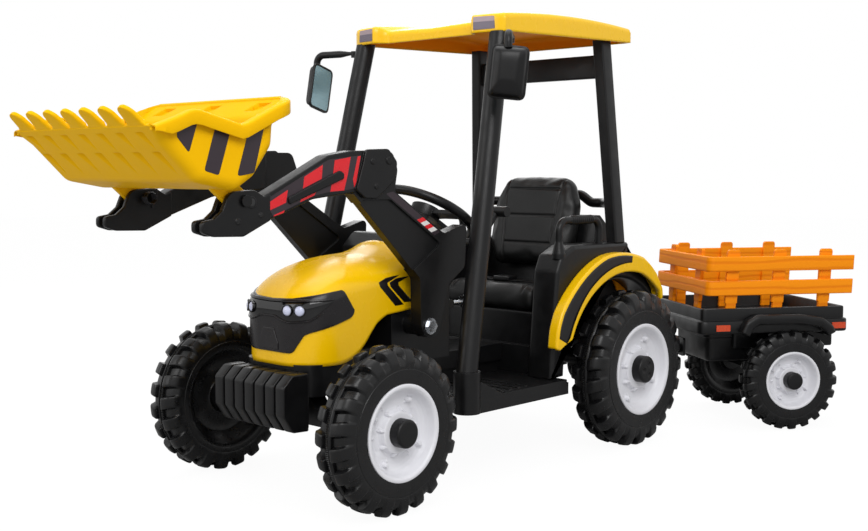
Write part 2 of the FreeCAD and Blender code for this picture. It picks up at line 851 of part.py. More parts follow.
def battery():
    box = doc.addObject("Part::Box", "battery")
    bind(box, "Length", "battery_width")
    bind(box, "Width", "battery_length")
    bind(box, "Height", "battery_height")
    on_tractor(box, "-battery_width / 2", "-battery_fore", "beam_top")
    return as_node(box, "battery")


# hood, mask and nose

hood_side_shares = (
    (0.0, 0.0), (0.0, 0.55, 0.05), (0.03, 0.635, 0.12), (0.35, 0.865, 0.5), (0.80, 0.905, 0.3), (1.0, 1.0),
    (1.0, 0.385), (0.74, 0.36, 0.1), (0.64, 0.3, 0.15), (0.47, 0.07, 0.15), (0.32, 0.0, 0.1))
hood_front_shares = (
    (-1.0, 0.0), (-1.0, 0.62, 0.10), (-0.72, 0.90, 0.25), (0.0, 1.02, 0.4), (0.72, 0.90, 0.25), (1.0,
                                                                                                 0.62,
                                                                                                 0.10),
    (1.0, 0.0))
mask_shares = (
    (-0.1, 0.14), (0.05, 0.14), (0.065, 0.29), (0.42, 0.46, 0.05), (0.325, 0.645, 0.03), (-0.1, 0.605))


def hood_form(name, grow):
    # the shape common to the hood's side view, plan and front view, grown outwards by an amount
    front = -size("wheelbase") - size("hood_front") - grow
    length = size("hood_length") + grow
    low = size("hood_bottom")
    height = size("hood_height") + grow
    half = size("hood_half_width") + grow
    nose = size("hood_nose_radius") + grow
    views = []
    side = doc.addObject("PartDesign::Body", name + "_side")
    sketch = sketch_on(side, "yz", "0")
    sketch.addGeometry(edges_of(trace(hood_side_shares, (front, low), (length, height))))
    finish_feature(side, "Pad", sketch, "3 * hood_half_width", "yz").SideType = "Symmetric"
    views.append(side)
    plan = doc.addObject("PartDesign::Body", name + "_plan")
    pad(plan, "xy", "hood_bottom - hood_height", "3 * hood_height",
        [(-half, front, nose), (half, front, nose), (half, front + length), (-half, front + length)])
    views.append(plan)
    face = doc.addObject("PartDesign::Body", name + "_face")
    sketch = sketch_on(face, "xz", "-wheelbase")
    sketch.addGeometry(edges_of(trace(hood_front_shares, (0, low), (half, height))))
    finish_feature(face, "Pad", sketch, "4 * hood_length", "xz").SideType = "Symmetric"
    views.append(face)
    common = doc.addObject("Part::MultiCommon", name)
    common.Shapes = views
    return common


def hood():
    outer = hood_form("hood_outer", 0)
    inner = hood_form("hood_inner", -size("hood_wall"))
    opened = doc.addObject("Part::Cut", "hood")
    opened.Base = outer
    opened.Tool = inner
    on_tractor(opened)
    return as_node(opened, "hood")


def grille_mask():
    skin = hood_form("mask_outer", size("mask_thickness") + size("seat_gap"))
    under = hood_form("mask_inner", size("seat_gap"))
    shell = doc.addObject("Part::Cut", "mask_shell")
    shell.Base = skin
    shell.Tool = under
    window = new_body("mask_window")
    front = -size("wheelbase") - size("hood_front")
    sketch = sketch_on(window, "yz", "0")
    sketch.addGeometry(edges_of(trace(mask_shares, (front, size("hood_bottom")),
                                      (size("hood_length"), size("hood_height")))))
    finish_feature(window, "Pad", sketch, "3 * hood_half_width", "yz").SideType = "Symmetric"
    mask = doc.addObject("Part::Common", "grille_mask")
    mask.Base = shell
    mask.Tool = window
    on_tractor(mask)
    return as_node(mask, "grille_mask")


def headlights():
    # domed lamps standing on the mask, each square to the rounded nose
    nose = size("hood_nose_radius")
    corner_x = size("hood_half_width") - nose
    corner_y = -size("wheelbase") - size("hood_front") + nose
    out = nose + size("mask_thickness") + 2 * size("seat_gap")
    lamps = []
    for side in (1, -1):
        for lamp_x in (size("headlight_inner_x"), size("headlight_outer_x")):
            lean = math.asin((lamp_x - corner_x) / nose)
            lamp = doc.addObject("Part::Feature", "headlight")
            radius = size("headlight_radius")
            depth = size("headlight_depth")
            ball = (radius * radius + depth * depth) / (2 * depth)
            dome = Part.makeSphere(ball, vec(0, 0, depth - ball))
            lamp.Shape = dome.common(Part.makeCylinder(radius, 2 * depth))
            aim = FreeCAD.Rotation(vec(0, 0, 1), vec(side * math.sin(lean), -math.cos(lean), 0))
            spot = vec(side * (corner_x + out * math.sin(lean)), corner_y - out * math.cos(lean),
                       size("headlight_z"))
            lamp.Placement = FreeCAD.Placement(spot, aim)
            bind(lamp, "Placement.Base.x", "%s - footprint_mid_x" % spot.x)
            bind(lamp, "Placement.Base.y", "%s - footprint_mid_y" % spot.y)
            lamps.append(lamp)
    return group("headlights", lamps)


weight_side_shares = (
    (1.0, 0.0), (0.3, 0.0, 0.08), (0.0, 0.22, 0.08), (0.0, 0.72, 0.08), (0.3, 1.0, 0.08), (1.0, 1.0))


def front_weights():
    body = new_body("front_weights")
    rear = -size("wheelbase") - size("skirt_nose")
    front = rear - size("weight_depth")
    outline = trace(weight_side_shares, (front, size("weight_bottom")), (size("weight_depth"),
                                                                         size("weight_height")))
    pad(body, "yz", "-weight_half_width", "2 * weight_half_width", outline)
    groove = size("weight_groove")
    pitch = 2 * size("weight_half_width") / size("weight_count")
    first = -size("weight_half_width") + pitch - groove / 2
    deep = front + size("weight_groove_depth")
    slot = cut(body, "xy", "weight_bottom - overrun", "weight_height + 2 * overrun",
               block((first, front - size("overrun")), (first + groove, deep)))
    repeat_along(body, slot, "weight_count - 1",
                 "2 * weight_half_width * (weight_count - 2) / weight_count", "X_Axis")
    return on_tractor(as_node(body, "front_weights"))


# dashboard and controls

dash_shares = (
    (0.0, 0.0), (0.0, 0.40, 0.05), (0.345, 0.41), (0.35, 0.86, 0.06), (0.55, 0.985, 0.15), (0.80, 0.95,
                                                                                            0.12),
    (1.0, 0.62, 0.06), (1.0, 0.0))


def dashboard():
    body = new_body("dashboard")
    rear = -size("dash_rear_fore")
    front = rear - size("dash_length")
    pad(body, "yz", "-dash_half_width", "2 * dash_half_width",
        trace(dash_shares, (front, size("beam_top")), (size("dash_length"), size("dash_height"))))
    pivot = (-size("loader_pivot_fore"), size("loader_pivot_z"))
    boss_out = "(arm_x - arm_rear_wall / 2 - seat_gap)"
    disc(body, "yz", "-%s" % boss_out, "2 * %s" % boss_out, pivot, "pivot_boss_radius")
    bore(body, "yz", "-arm_x", "2 * arm_x", pivot, "pivot_shaft_radius + running_clearance")
    column = body.newObject("Sketcher::SketchObject", "column")
    column.AttachmentSupport = [(origin_part(body, "XY_Plane"), "")]
    column.MapMode = "FlatFace"
    lean = FreeCAD.Rotation(vec(1, 0, 0), -size("steering_tilt"))
    column.AttachmentOffset = FreeCAD.Placement(vec(0, size("steering_wheel_y"),
                                                    size("steering_wheel_z")), lean)
    column.addGeometry(Part.Circle(vec(), vec(0, 0, 1),
                                   size("steering_shaft_radius") + size("running_clearance")))
    hole = body.newObject("PartDesign::Pocket", "column_bore")
    hole.Profile = column
    bind(hole, "Length", "steering_shaft_length + overrun")
    recess = "button_length - button_proud + overrun"
    bore(body, "xz", "-dash_rear_fore - (%s)" % recess, "%s + overrun" % recess,
         (size("button_x"), size("button_z")), "button_radius + seat_gap")
    low = size("lever_z") - size("lever_hub_radius")
    high = size("lever_z") + size("lever_hub_radius")
    lever_y = rear + size("lever_reach")
    tip = lever_y + size("lever_hub_radius")
    for start in ("lever_x - lever_hub_width / 2 - seat_gap - lever_ear",
                  "lever_x + lever_hub_width / 2 + seat_gap"):
        pad(body, "yz", start, "lever_ear",
            [(rear - size("overrun"), low), (tip, low, size("lever_hub_radius")),
             (tip, high, size("lever_hub_radius")), (rear - size("overrun"), high)])
    disc(body, "yz", "lever_x - lever_hub_width / 2 - lever_ear", "lever_hub_width + 2 * lever_ear",
         (lever_y, size("lever_z")), "lever_pin_radius")
    return on_tractor(as_node(body, "dashboard"))


def steering():
    lean = FreeCAD.Rotation(vec(1, 0, 0), -size("steering_tilt"))
    body = new_body("steering_wheel")
    sketch = sketch_on(body, "xz", "0")
    sketch.addGeometry(Part.Circle(vec(size("steering_wheel_radius"), 0, 0), vec(0, 0, 1),
                                   size("steering_grip_radius")))
    ring = body.newObject("PartDesign::Revolution", "grip")
    ring.Profile = sketch
    ring.ReferenceAxis = (sketch, ["V_Axis"])
    spoke = size("steering_spoke_width") / 2
    reach = size("steering_wheel_radius")
    spokes = [block((-reach, -spoke), (reach, spoke)), block((-spoke, 0), (spoke, reach))]
    pad(body, "xy", "-steering_spoke_height / 2", "steering_spoke_height", spokes[0])
    pad(body, "xy", "-steering_spoke_height / 2", "steering_spoke_height", spokes[1])
    disc(body, "xy", "-steering_hub_height / 2", "steering_hub_height", (0, 0), "steering_hub_radius")
    body.Placement = FreeCAD.Placement(vec(), lean)
    on_tractor(as_node(body, "steering_wheel"), "0", "steering_wheel_y", "steering_wheel_z")
    shaft = doc.addObject("Part::Cylinder", "steering_shaft")
    bind(shaft, "Radius", "steering_shaft_radius")
    bind(shaft, "Height", "steering_shaft_length - steering_hub_height / 2")
    shaft.Placement = FreeCAD.Placement(vec(), lean)
    on_tractor(as_node(shaft, "steering_shaft"), "0",
               "steering_wheel_y - steering_shaft_length * sin(steering_tilt)",
               "steering_wheel_z - steering_shaft_length * cos(steering_tilt)")


def start_button():
    body = new_body("start_button")
    disc(body, "xz", "-dash_rear_fore + button_proud - button_length", "button_length",
         (size("button_x"), size("button_z")), "button_radius")
    return on_tractor(as_node(body, "start_button"))


def direction_lever():
    body = new_body("direction_lever")
    lever_y = -size("dash_rear_fore") + size("lever_reach")
    spot = (lever_y, size("lever_z"))
    disc(body, "yz", "lever_x - lever_hub_width / 2", "lever_hub_width", spot, "lever_hub_radius")
    disc(body, "xz", "-dash_rear_fore + lever_reach", "lever_rod_length", (size("lever_x"),
                                                                           size("lever_z")),
         "lever_rod_radius")
    disc(body, "xz", "-dash_rear_fore + lever_reach + lever_rod_length - lever_knob_radius / 2",
         "lever_knob_radius * 1.5", (size("lever_x"), size("lever_z")), "lever_knob_radius")
    bore(body, "yz", "lever_x - lever_hub_width", "2 * lever_hub_width", spot,
         "lever_pin_radius + running_clearance")
    return on_tractor(as_node(body, "direction_lever"))


def accelerator_pedal():
    body = new_body("accelerator_pedal")
    hub = (-size("pedal_fore"), size("floor_bottom") + size("floor_thickness") + size("pedal_ear_rise"))
    lean = math.radians(size("pedal_tilt"))
    along = (-math.cos(lean), math.sin(lean))
    across = (math.sin(lean), math.cos(lean))
    half = size("pedal_plate") / 2
    reach = size("pedal_length")
    corners = [(hub[0] + a * along[0] + b * across[0], hub[1] + a * along[1] + b * across[1], half / 2)
               for a, b in ((0, -half), (reach, -half), (reach, half), (0, half))]
    pad(body, "yz", "pedal_x - pedal_width / 2", "pedal_width", corners)
    disc(body, "yz", "pedal_x - pedal_width / 2", "pedal_width", hub, "pedal_hub_radius")
    bore(body, "yz", "pedal_x - pedal_width", "2 * pedal_width", hub,
         "pedal_pin_radius + running_clearance")
    return on_tractor(as_node(body, "accelerator_pedal"))


# footwell

def footwell():
    body = new_body("footwell")
    half = size("floor_half_width")
    front = -size("floor_fore")
    rear = front + size("floor_length")
    top = size("floor_bottom") + size("floor_thickness")
    wall = size("floor_skirt_wall")
    pad(body, "xy", "floor_bottom", "floor_thickness", block((-half, front), (half, rear), wall))
    for side in (1, -1):
        x = side * half
        inner = side * (half - wall)
        pad(body, "xy", "floor_bottom - floor_skirt", "floor_skirt + floor_thickness / 2",
            block((min(x, inner), front), (max(x, inner), rear)))
        post = (side * size("front_post_base_x"), -size("front_post_base_fore"))
        disc(body, "xy", "socket_bottom", "front_post_base_z - socket_bottom", post, "socket_radius")
        gusset = [(post[1], size("front_post_base_z") - wall), (post[1] + size("floor_length") / 3, top),
                  (post[1] + size("floor_length") / 3, top - wall), (post[1], top - wall)]
        start = "floor_half_width - floor_skirt_wall" if side > 0 else "-floor_half_width"
        pad(body, "yz", start, "floor_skirt_wall", gusset)
        first = front + size("floor_length") / 4
        rib = pad(body, "xy", "floor_bottom + floor_thickness", "tread_height",
                  block((side * (half - 2 * wall), first), (side * size("seat_well_half") / 2,
                                                            first + size("tread_width"))))
        repeat_along(body, rib, "tread_count", "floor_length / 3", "Y_Axis")
    saddle = size("beam_half_width") - wall
    pad(body, "xy", "floor_bottom + floor_thickness / 2",
        "beam_bottom - floor_bottom - floor_thickness / 2",
        block((-saddle, front + size("floor_length") / 3), (saddle, rear - wall)))
    hub = (-size("pedal_fore"), top + size("pedal_ear_rise"))
    reach = size("pedal_hub_radius")
    for start in ("pedal_x - pedal_width / 2 - seat_gap - pedal_ear",
                  "pedal_x + pedal_width / 2 + seat_gap"):
        pad(body, "yz", start, "pedal_ear",
            [(hub[0] - reach, top - size("tread_height")), (hub[0] + reach, top - size("tread_height")),
             (hub[0] + reach, hub[1] + reach, reach), (hub[0] - reach, hub[1] + reach, reach)])
    disc(body, "yz", "pedal_x - pedal_width / 2 - pedal_ear", "pedal_width + 2 * pedal_ear", hub,
         "pedal_pin_radius")
    return on_tractor(as_node(body, "footwell"))


# rear body and seat

side_panel_shares = (
    (0.0, 0.0), (0.105, 0.855, 0.08), (0.15, 1.0, 0.05), (0.755, 1.0, 0.05), (0.90, 0.79, 0.15),
    (1.0, 0.575, 0.03), (0.972, 0.46), (0.646, 0.0))


def rear_body():
    body = new_body("rear_body")
    front = -size("seat_box_fore")
    low = size("beam_top")
    box_top = size("seat_box_top")
    tail = size("seat_box_tail")
    lean = math.tan(math.radians(size("back_recline")))
    wall_low = seat_back_rear(box_top) + size("seat_gap")
    wall_top = box_top + size("back_wall_height")
    wall_high = wall_low + lean * size("back_wall_height")
    ledge = size("side_panel_top")
    pad(body, "yz", "-seat_well_half", "2 * seat_well_half",
        [(front, low), (front, box_top), (wall_low, box_top), (wall_high, wall_top),
         (wall_high + size("well_wall"), wall_top), (tail - size("well_wall"), ledge), (tail, box_top),
         (tail, low)])
    floor_top = size("floor_bottom") + size("floor_thickness")
    for start in ("beam_half_width + overrun", "-seat_well_half"):
        pad(body, "yz", start, "seat_well_half - beam_half_width - overrun",
            block((front, floor_top), (front + size("well_wall"), low + size("overrun"))))
    span = (size("side_panel_length"), ledge - floor_top)
    outline = trace(side_panel_shares, (-size("side_panel_fore"), floor_top), span)
    for start, arch_start in (("seat_well_half", "seat_well_half"), ("-side_panel_x",
                                                                     "-side_panel_x - overrun")):
        pad(body, "yz", start, "side_panel_x - seat_well_half", outline)
        bore(body, "yz", arch_start, "side_panel_x - seat_well_half + overrun", (0,
                                                                                 size("rear_tyre_radius")),
             "arch_radius")
    return on_tractor(as_node(body, "rear_body"))


def seat_back_rear(height):
    # the rear face of the reclined seat back at a height
    lean = math.radians(size("back_recline"))
    rise = height - size("seat_back_bottom")
    return size("seat_back_y") + size("seat_back_depth") / math.cos(lean) + rise * math.tan(lean)


cushion_levels_shares = ((0.0, 0.06), (0.14, 0.0), (0.66, 0.0), (0.88, 0.07), (1.0, 0.27))
back_outline_shares = (
    (-0.86, 0.0, 0.16), (0.86, 0.0, 0.16), (1.0, 0.42, 0.3), (0.97, 0.72, 0.3), (0.78, 1.0, 0.3),
    (-0.78, 1.0, 0.3), (-0.97, 0.72, 0.3), (-1.0, 0.42, 0.3))
back_levels_shares = ((0.0, 0.17), (0.14, 0.06), (0.36, 0.0), (0.86, 0.0), (1.0, 0.05))
channel_height_shares = (0.31, 0.58, 0.86)
channel_side_share = 0.62


def seat_cushion():
    body = new_body("seat_cushion")
    half = (size("cushion_half_width"), size("cushion_length") / 2)
    middle = (0, -size("cushion_fore") + half[1])
    outline = block((-half[0], middle[1] - half[1]), (half[0], middle[1] + half[1]), half[1] / 3)
    low = size("seat_box_top") + size("seat_gap")
    loft(body, "xy", [(low + up * size("cushion_height"), inset(outline, middle, half, draw * half[1]))
                      for up, draw in cushion_levels_shares])
    return on_tractor(as_node(body, "seat_cushion"))


def seat_back():
    body = new_body("seat_back")
    half = (size("seat_back_half_width"), size("seat_back_height") / 2)
    outline = trace(back_outline_shares, (0, 0), (half[0], size("seat_back_height")))
    loft(body, "xz", [(deep * size("seat_back_depth"), inset(outline, (0, half[1]), half, draw * half[1]))
                      for deep, draw in back_levels_shares])
    wide = channel_side_share * half[0]
    groove = size("channel_width")
    for share in channel_height_shares:
        level = share * size("seat_back_height")
        cut(body, "xz", "-overrun", "channel_depth + overrun", block((-wide, level), (wide,
                                                                                      level + groove)))
    for side in (1, -1):
        edge = side * wide
        cut(body, "xz", "-overrun", "channel_depth + overrun",
            block((min(edge, edge + side * groove), half[1] / 4), (max(edge, edge + side * groove),
                                                                   2 * half[1] * 0.9)))
    body.Placement = FreeCAD.Placement(vec(), FreeCAD.Rotation(vec(1, 0, 0), -size("back_recline")))
    return on_tractor(as_node(body, "seat_back"), "0", "seat_back_y", "seat_back_bottom")


def seat_belt():
    body = new_body("seat_belt")
    top = size("seat_box_top") + size("cushion_height") + 2 * size("seat_gap")
    reach = size("seat_well_half") - size("seat_gap")
    strap = block((-reach, top), (reach, top + size("belt_thickness")))
    pad(body, "xz", "-belt_fore - belt_width / 2", "belt_width", strap)
    half = size("buckle_length") / 2
    clasp = block((-half, top), (half, top + size("buckle_height")), size("belt_thickness"))
    pad(body, "xz", "-belt_fore - buckle_width / 2", "buckle_width", clasp)
    return on_tractor(as_node(body, "seat_belt"))


# fenders and handles

def fenders():
    body = new_body("left_fender")
    inner = size("side_panel_x") + size("seat_gap")
    outer = inner + size("fender_flare")
    low = size("fender_radius")
    high = low + size("fender_rise")
    wall = size("fender_wall")
    sketch = sketch_on(body, "xy", "0")
    sketch.addGeometry(edges_of([(inner, high), (inner + wall, high, wall), (outer, low + 2 * wall, wall),
                                 (outer, low),
                                 (outer - wall, low), (outer - wall, low + 2 * wall, wall / 2),
                                 (inner, high - 2 * wall)]))
    arc = body.newObject("PartDesign::Revolution", "sweep")
    arc.Profile = sketch
    arc.ReferenceAxis = (sketch, ["H_Axis"])
    bind(arc, "Angle", "fender_sweep")
    body.Placement = FreeCAD.Placement(vec(), FreeCAD.Rotation(vec(1, 0, 0), size("fender_start")))
    bind(body, "Placement.Rotation.Angle", "fender_start")
    on_tractor(body, "0", "fender_centre_y", "fender_centre_z")
    return group("fenders", [body, mirrored(body, "right_fender")])


def grab_handles():
    top = size("side_panel_top")
    x = size("handle_x")
    bend = size("handle_bend")
    front = -size("handle_front_fore")
    rear = -size("handle_rear_fore")
    high = top + size("handle_height")
    bar = doc.addObject("Part::Feature", "left_handle")
    bar.Shape = tube([(x, front, top, 0), (x, front, high, bend), (x, rear, high, bend), (x, rear, top,
                                                                                          0)],
                     size("handle_radius"))
    on_tractor(bar)
    return group("grab_handles", [bar, mirrored(bar, "right_handle")])


# roof

roof_plan_shares = (
    (-1.0, 1.0, 0.06), (1.0, 1.0, 0.06), (1.0, 0.0, 0.06), (0.66, 0.0, 0.03), (0.62, 0.055, 0.03),
    (-0.62, 0.055, 0.03), (-0.66, 0.0, 0.03), (-1.0, 0.0, 0.06))
roof_boss_shares = (0.57, 0.745)
roof_levels_shares = ((0.0, 0.0), (0.50, 0.015), (0.72, 0.07), (0.88, 0.22), (1.0, 0.50))


def front_posts():
    body = new_body("left_front_post")
    base = vec(size("front_post_base_x"), -size("front_post_base_fore"), size("front_post_base_z"))
    top = vec(size("front_post_top_x"), -size("front_post_top_fore"), size("front_post_top_z"))
    sections = []
    for point, level in ((base, "front_post_base_z"), (top, "front_post_top_z")):
        sketch = sketch_on(body, "xy", level)
        sketch.addGeometry(Part.Circle(vec(point.x, point.y, 0), vec(0, 0, 1), size("post_radius")))
        sections.append(sketch)
    shaft = body.newObject("PartDesign::AdditiveLoft", "post")
    shaft.Profile = sections[0]
    shaft.Sections = sections[1:]
    at = mirror_pin_place()
    round_end = size("mirror_ear_radius")
    pad(body, "xy", "mirror_ear_z", "mirror_ear_thickness",
        [(at.x - size("mirror_ear_reach"), at.y - round_end), (at.x + round_end, at.y - round_end,
                                                               round_end),
         (at.x + round_end, at.y + round_end, round_end), (at.x - size("mirror_ear_reach"),
                                                           at.y + round_end)])
    disc(body, "xy", "mirror_ear_z", "mirror_ear_thickness + mirror_eye_height + seat_gap", (at.x, at.y),
         "mirror_pin_radius")
    on_tractor(body)
    return group("front_posts", [body, mirrored(body, "right_front_post")])


def mirror_pin_place():
    # the mirror's swivel pin stands outside the post at the height of its ear
    rise = size("front_post_top_z") - size("front_post_base_z")
    share = (size("mirror_ear_z") - size("front_post_base_z")) / rise
    x = size("front_post_base_x") + share * (size("front_post_top_x") - size("front_post_base_x"))
    lean = size("front_post_top_fore") - size("front_post_base_fore")
    fore = size("front_post_base_fore") + share * lean
    return vec(x + size("mirror_ear_reach"), -fore, size("mirror_ear_z"))


def rear_post_place(height):
    share = (height - size("side_panel_top")) / (size("rear_post_top_z") - size("side_panel_top"))
    x = size("rear_post_base_x") + share * (size("rear_post_top_x") - size("rear_post_base_x"))
    y = size("rear_post_base_y") + share * (size("rear_post_top_y") - size("rear_post_base_y"))
    return x, y


def rear_post_frame():
    half = (size("rear_post_width") / 2, size("rear_post_depth") / 2)
    posts = []
    for side in (1, -1):
        post = new_body("rear_post")
        sections = []
        for height in (size("side_panel_top"), size("rear_post_top_z")):
            x, y = rear_post_place(height)
            x = side * x
            sections.append((height, block((x - half[0], y - half[1]), (x + half[0], y + half[1]),
                                           half[0] / 3)))
        loft(post, "xy", sections)
        posts.append(post)
    x, y = rear_post_place(size("crossbar_z") + size("crossbar_height") / 2)
    bar = new_body("crossbar")
    pad(bar, "xy", "crossbar_z", "crossbar_height",
        block((-x, y - size("crossbar_depth") / 2), (x, y + size("crossbar_depth") / 2)))
    x, y = rear_post_place(size("rail_z"))
    back = y + size("rail_set_back")
    bend = size("rail_set_back")
    knee = x - size("rail_set_back")
    rail = doc.addObject("Part::Feature", "back_rail")
    level = size("rail_z")
    rail.Shape = tube([(x, y, level, 0), (knee, back, level, bend), (-knee, back, level, bend), (-x, y,
                                                                                                 level,
                                                                                                 0)],
                      size("rail_radius"))
    whole = doc.addObject("Part::MultiFuse", "rear_post_frame")
    whole.Shapes = posts + [bar, rail]
    on_tractor(whole)
    return as_node(whole, "rear_post_frame")


def roof():
    body = new_body("roof")
    half = (size("roof_half_width"), size("roof_length") / 2)
    middle = (0, -size("roof_fore") + half[1])
    outline = trace(roof_plan_shares, (0, -size("roof_fore")), (half[0], size("roof_length")))
    low = size("roof_bottom")
    high = size("roof_height")
    wall = size("roof_wall")
    loft(body, "xy", [(low + up * high, inset(outline, middle, half, draw * half[0]))
                      for up, draw in roof_levels_shares])
    lowered = (high - wall) / high
    loft(body, "xy", [(low + up * high * lowered - (size("overrun") if up == 0 else 0),
                       inset(outline, middle, half, draw * half[0] + wall)) for up,
                       draw in roof_levels_shares], True)
    front = (size("front_post_top_x"), -size("front_post_top_fore"))
    rear = (size("rear_post_top_x"), size("rear_post_top_y"))
    reach = size("post_radius") - 2 * wall
    for spot, start, share in ((front, "front_post_top_z", roof_boss_shares[0]),
                               (rear, "rear_post_top_z", roof_boss_shares[1])):
        for side in (1, -1):
            x = side * spot[0]
            pad(body, "xy", start, "roof_bottom + roof_height * %s - %s" % (share, start),
                block((x - reach, spot[1] - reach), (x + reach, spot[1] + reach), wall))
    return on_tractor(as_node(body, "roof"))


def roof_lamps():
    body = new_body("left_roof_lamp")
    half = size("roof_lamp_width") / 2
    low = size("roof_bottom") + size("roof_lamp_rise")
    pad(body, "xz", "-roof_fore - roof_lamp_depth", "roof_lamp_depth",
        block((size("roof_lamp_x") - half, low), (size("roof_lamp_x") + half,
                                                  low + size("roof_lamp_height")),
              size("roof_lamp_depth")))
    on_tractor(body)
    return group("roof_lamps", [body, mirrored(body, "right_roof_lamp")])


def mirror(side, label, swivel):
    # drawn with the swivel pin at the origin and the arm pointing outwards
    at = mirror_pin_place()
    height = size("mirror_eye_height")
    reach = side * size("mirror_arm_length")
    top = -size("mirror_drop")
    eye = new_body(label + "_eye")
    disc(eye, "xy", "0", "mirror_eye_height", (0, 0), "mirror_ear_radius")
    bore(eye, "xy", "-overrun", "mirror_eye_height + 2 * overrun", (0, 0),
         "mirror_pin_radius + running_clearance")
    arm = doc.addObject("Part::Feature", label + "_arm")
    middle = height / 2
    arm.Shape = tube([(side * size("mirror_ear_radius") * 0.8, 0, middle, 0), (reach, 0, middle,
                                                                               size("mirror_bend")),
                      (reach, 0, top, 0)], size("mirror_arm_radius") * 0.8)
    shell = new_body(label + "_shell")
    wide = size("mirror_width") / 2
    low = top - size("mirror_height")
    corner = size("mirror_width") / 4
    outline = block((-wide, low), (wide, top), corner)
    depth = size("mirror_depth")
    lift = reach - side * depth / 2
    half = (wide, size("mirror_height") / 2)
    centre = (0, (low + top) / 2)
    loft(shell, "yz", [(lift, outline), (lift + side * depth * 0.6, outline),
                       (lift + side * depth, inset(outline, centre, half, corner / 2))])
    border = size("mirror_border")
    glass_seat = inset(outline, centre, half, border)
    inner = "%s - overrun" % lift if side > 0 else "%s - mirror_glass_thickness - seat_gap" % lift
    cut(shell, "yz", inner, "mirror_glass_thickness + seat_gap + overrun", glass_seat)
    whole = doc.addObject("Part::MultiFuse", label)
    whole.Shapes = [eye, arm, shell]
    glass = new_body(label + "_glass")
    start = "%s + seat_gap" % lift if side > 0 else "%s - mirror_glass_thickness - seat_gap" % lift
    pad(glass, "yz", start, "mirror_glass_thickness", inset(outline, centre, half,
                                                            border + size("seat_gap")))
    for item, node_label in ((whole, label), (glass, label + "_glass")):
        item.Placement = FreeCAD.Placement(vec(), FreeCAD.Rotation(vec(0, 0, 1), size(swivel)))
        bind(item, "Placement.Rotation.Angle", swivel)
        on_tractor(item, str(side * at.x), str(at.y), "mirror_ear_z + mirror_ear_thickness + seat_gap")
        as_node(item, node_label)


# loader arms, drawn forwards and upwards from the pivot as shares of reach and rise

arm_rear_shares = (
    (0.045, 0.0, 0.06), (0.05, 0.28, 0.05), (0.375, 0.77), (0.375, 0.96, 0.05), (0.33, 1.0, 0.03), (0.19,
                                                                                                    1.0,
                                                                                                    0.05),
    (0.165, 0.90, 0.05), (0.18, 0.78, 0.03), (-0.075, 0.53, 0.05), (-0.20, 0.585, 0.03), (-0.19, 0.325,
                                                                                          0.05),
    (-0.10, 0.23, 0.05), (-0.075, 0.08, 0.05), (-0.045, -0.06, 0.06), (0.02, -0.07, 0.06))
arm_front_shares = (
    (0.385, 0.775), (0.56, 0.745, 0.2), (0.73, 0.655, 0.2), (0.845, 0.57, 0.04), (0.955, 0.575, 0.03),
    (1.0, 0.60, 0.03), (1.0, 0.65, 0.03), (0.955, 0.66, 0.03), (0.925, 0.70, 0.03), (0.90, 0.79, 0.08),
    (0.80, 0.80, 0.08), (0.765, 0.765, 0.03), (0.49, 0.975, 0.1), (0.385, 1.0, 0.03))
elbow_shares = (
    (0.40, 0.80, 0.03), (0.40, 0.985, 0.03), (0.36, 1.02, 0.03), (0.19, 1.02, 0.05), (0.155, 0.93, 0.05),
    (0.175, 0.75, 0.03), (0.34, 0.73, 0.03))
elbow_bolt_shares = ((0.225, 0.945), (0.34, 0.945), (0.24, 0.80))
arm_recess_shares = (
    (0.09, 0.33, 0.02), (0.36, 0.735, 0.02), (0.20, 0.735, 0.02), (-0.06, 0.47, 0.02))
stripe_bar_shares = ((0.46, 0.79, 0.02), (0.46, 0.86, 0.02), (0.70, 0.725, 0.02), (0.70, 0.675, 0.02))


def arm_outline(shares):
    origin = (-size("loader_pivot_fore"), size("loader_pivot_z"))
    return trace(shares, origin, (-size("arm_reach"), size("arm_rise")))


def arm_point(shares):
    return arm_outline((shares,))[0][:2]


def loader_arm_rears():
    body = new_body("left_arm_rear")
    start = "arm_x - arm_rear_wall / 2"
    pad(body, "yz", start, "arm_rear_wall", arm_outline(arm_rear_shares))
    cut(body, "yz", "arm_x + arm_rear_wall / 2 - arm_recess", "arm_recess + overrun",
        arm_outline(arm_recess_shares))
    cut(body, "yz", start + " - overrun", "arm_recess + overrun", arm_outline(arm_recess_shares))
    bore(body, "yz", start + " - overrun", "arm_rear_wall + 2 * overrun",
         (-size("loader_pivot_fore"), size("loader_pivot_z")), "pivot_shaft_radius + fixed_clearance")
    on_tractor(body)
    return group("loader_arm_rears", [body, mirrored(body, "right_arm_rear")])


def loader_arm_fronts():
    body = new_body("left_arm_front")
    start = "arm_x - arm_width / 2"
    pad(body, "yz", start, "arm_width", arm_outline(arm_front_shares))
    pad(body, "yz", "arm_x + arm_rear_wall / 2", "elbow_plate + arm_width / 2 - arm_rear_wall / 2",
        arm_outline(elbow_shares))
    for share in elbow_bolt_shares:
        disc(body, "yz", "arm_x + arm_width / 2", "elbow_plate * 1.5", arm_point(share),
             "elbow_bolt_radius")
    pad(body, "yz", "arm_x + arm_width / 2 - overrun", "elbow_plate + overrun",
        arm_outline(stripe_bar_shares))
    pin = (-size("loader_pivot_fore") - size("bucket_pivot_reach"),
           size("loader_pivot_z") + size("bucket_pivot_rise"))
    slot_end = pin[0] + size("bucket_lug_radius") * 2
    tip = -size("loader_pivot_fore") - size("arm_reach") - size("overrun")
    drop = size("arm_rise") / 2
    cut(body, "yz", "arm_x - fork_slot / 2", "fork_slot",
        block((tip, pin[1] - drop), (slot_end, pin[1] + drop)))
    bore(body, "yz", start + " - overrun", "arm_width + 2 * overrun", pin,
         "bucket_pin_radius + fixed_clearance")
    on_tractor(body)
    return group("loader_arm_fronts", [body, mirrored(body, "right_arm_front")])


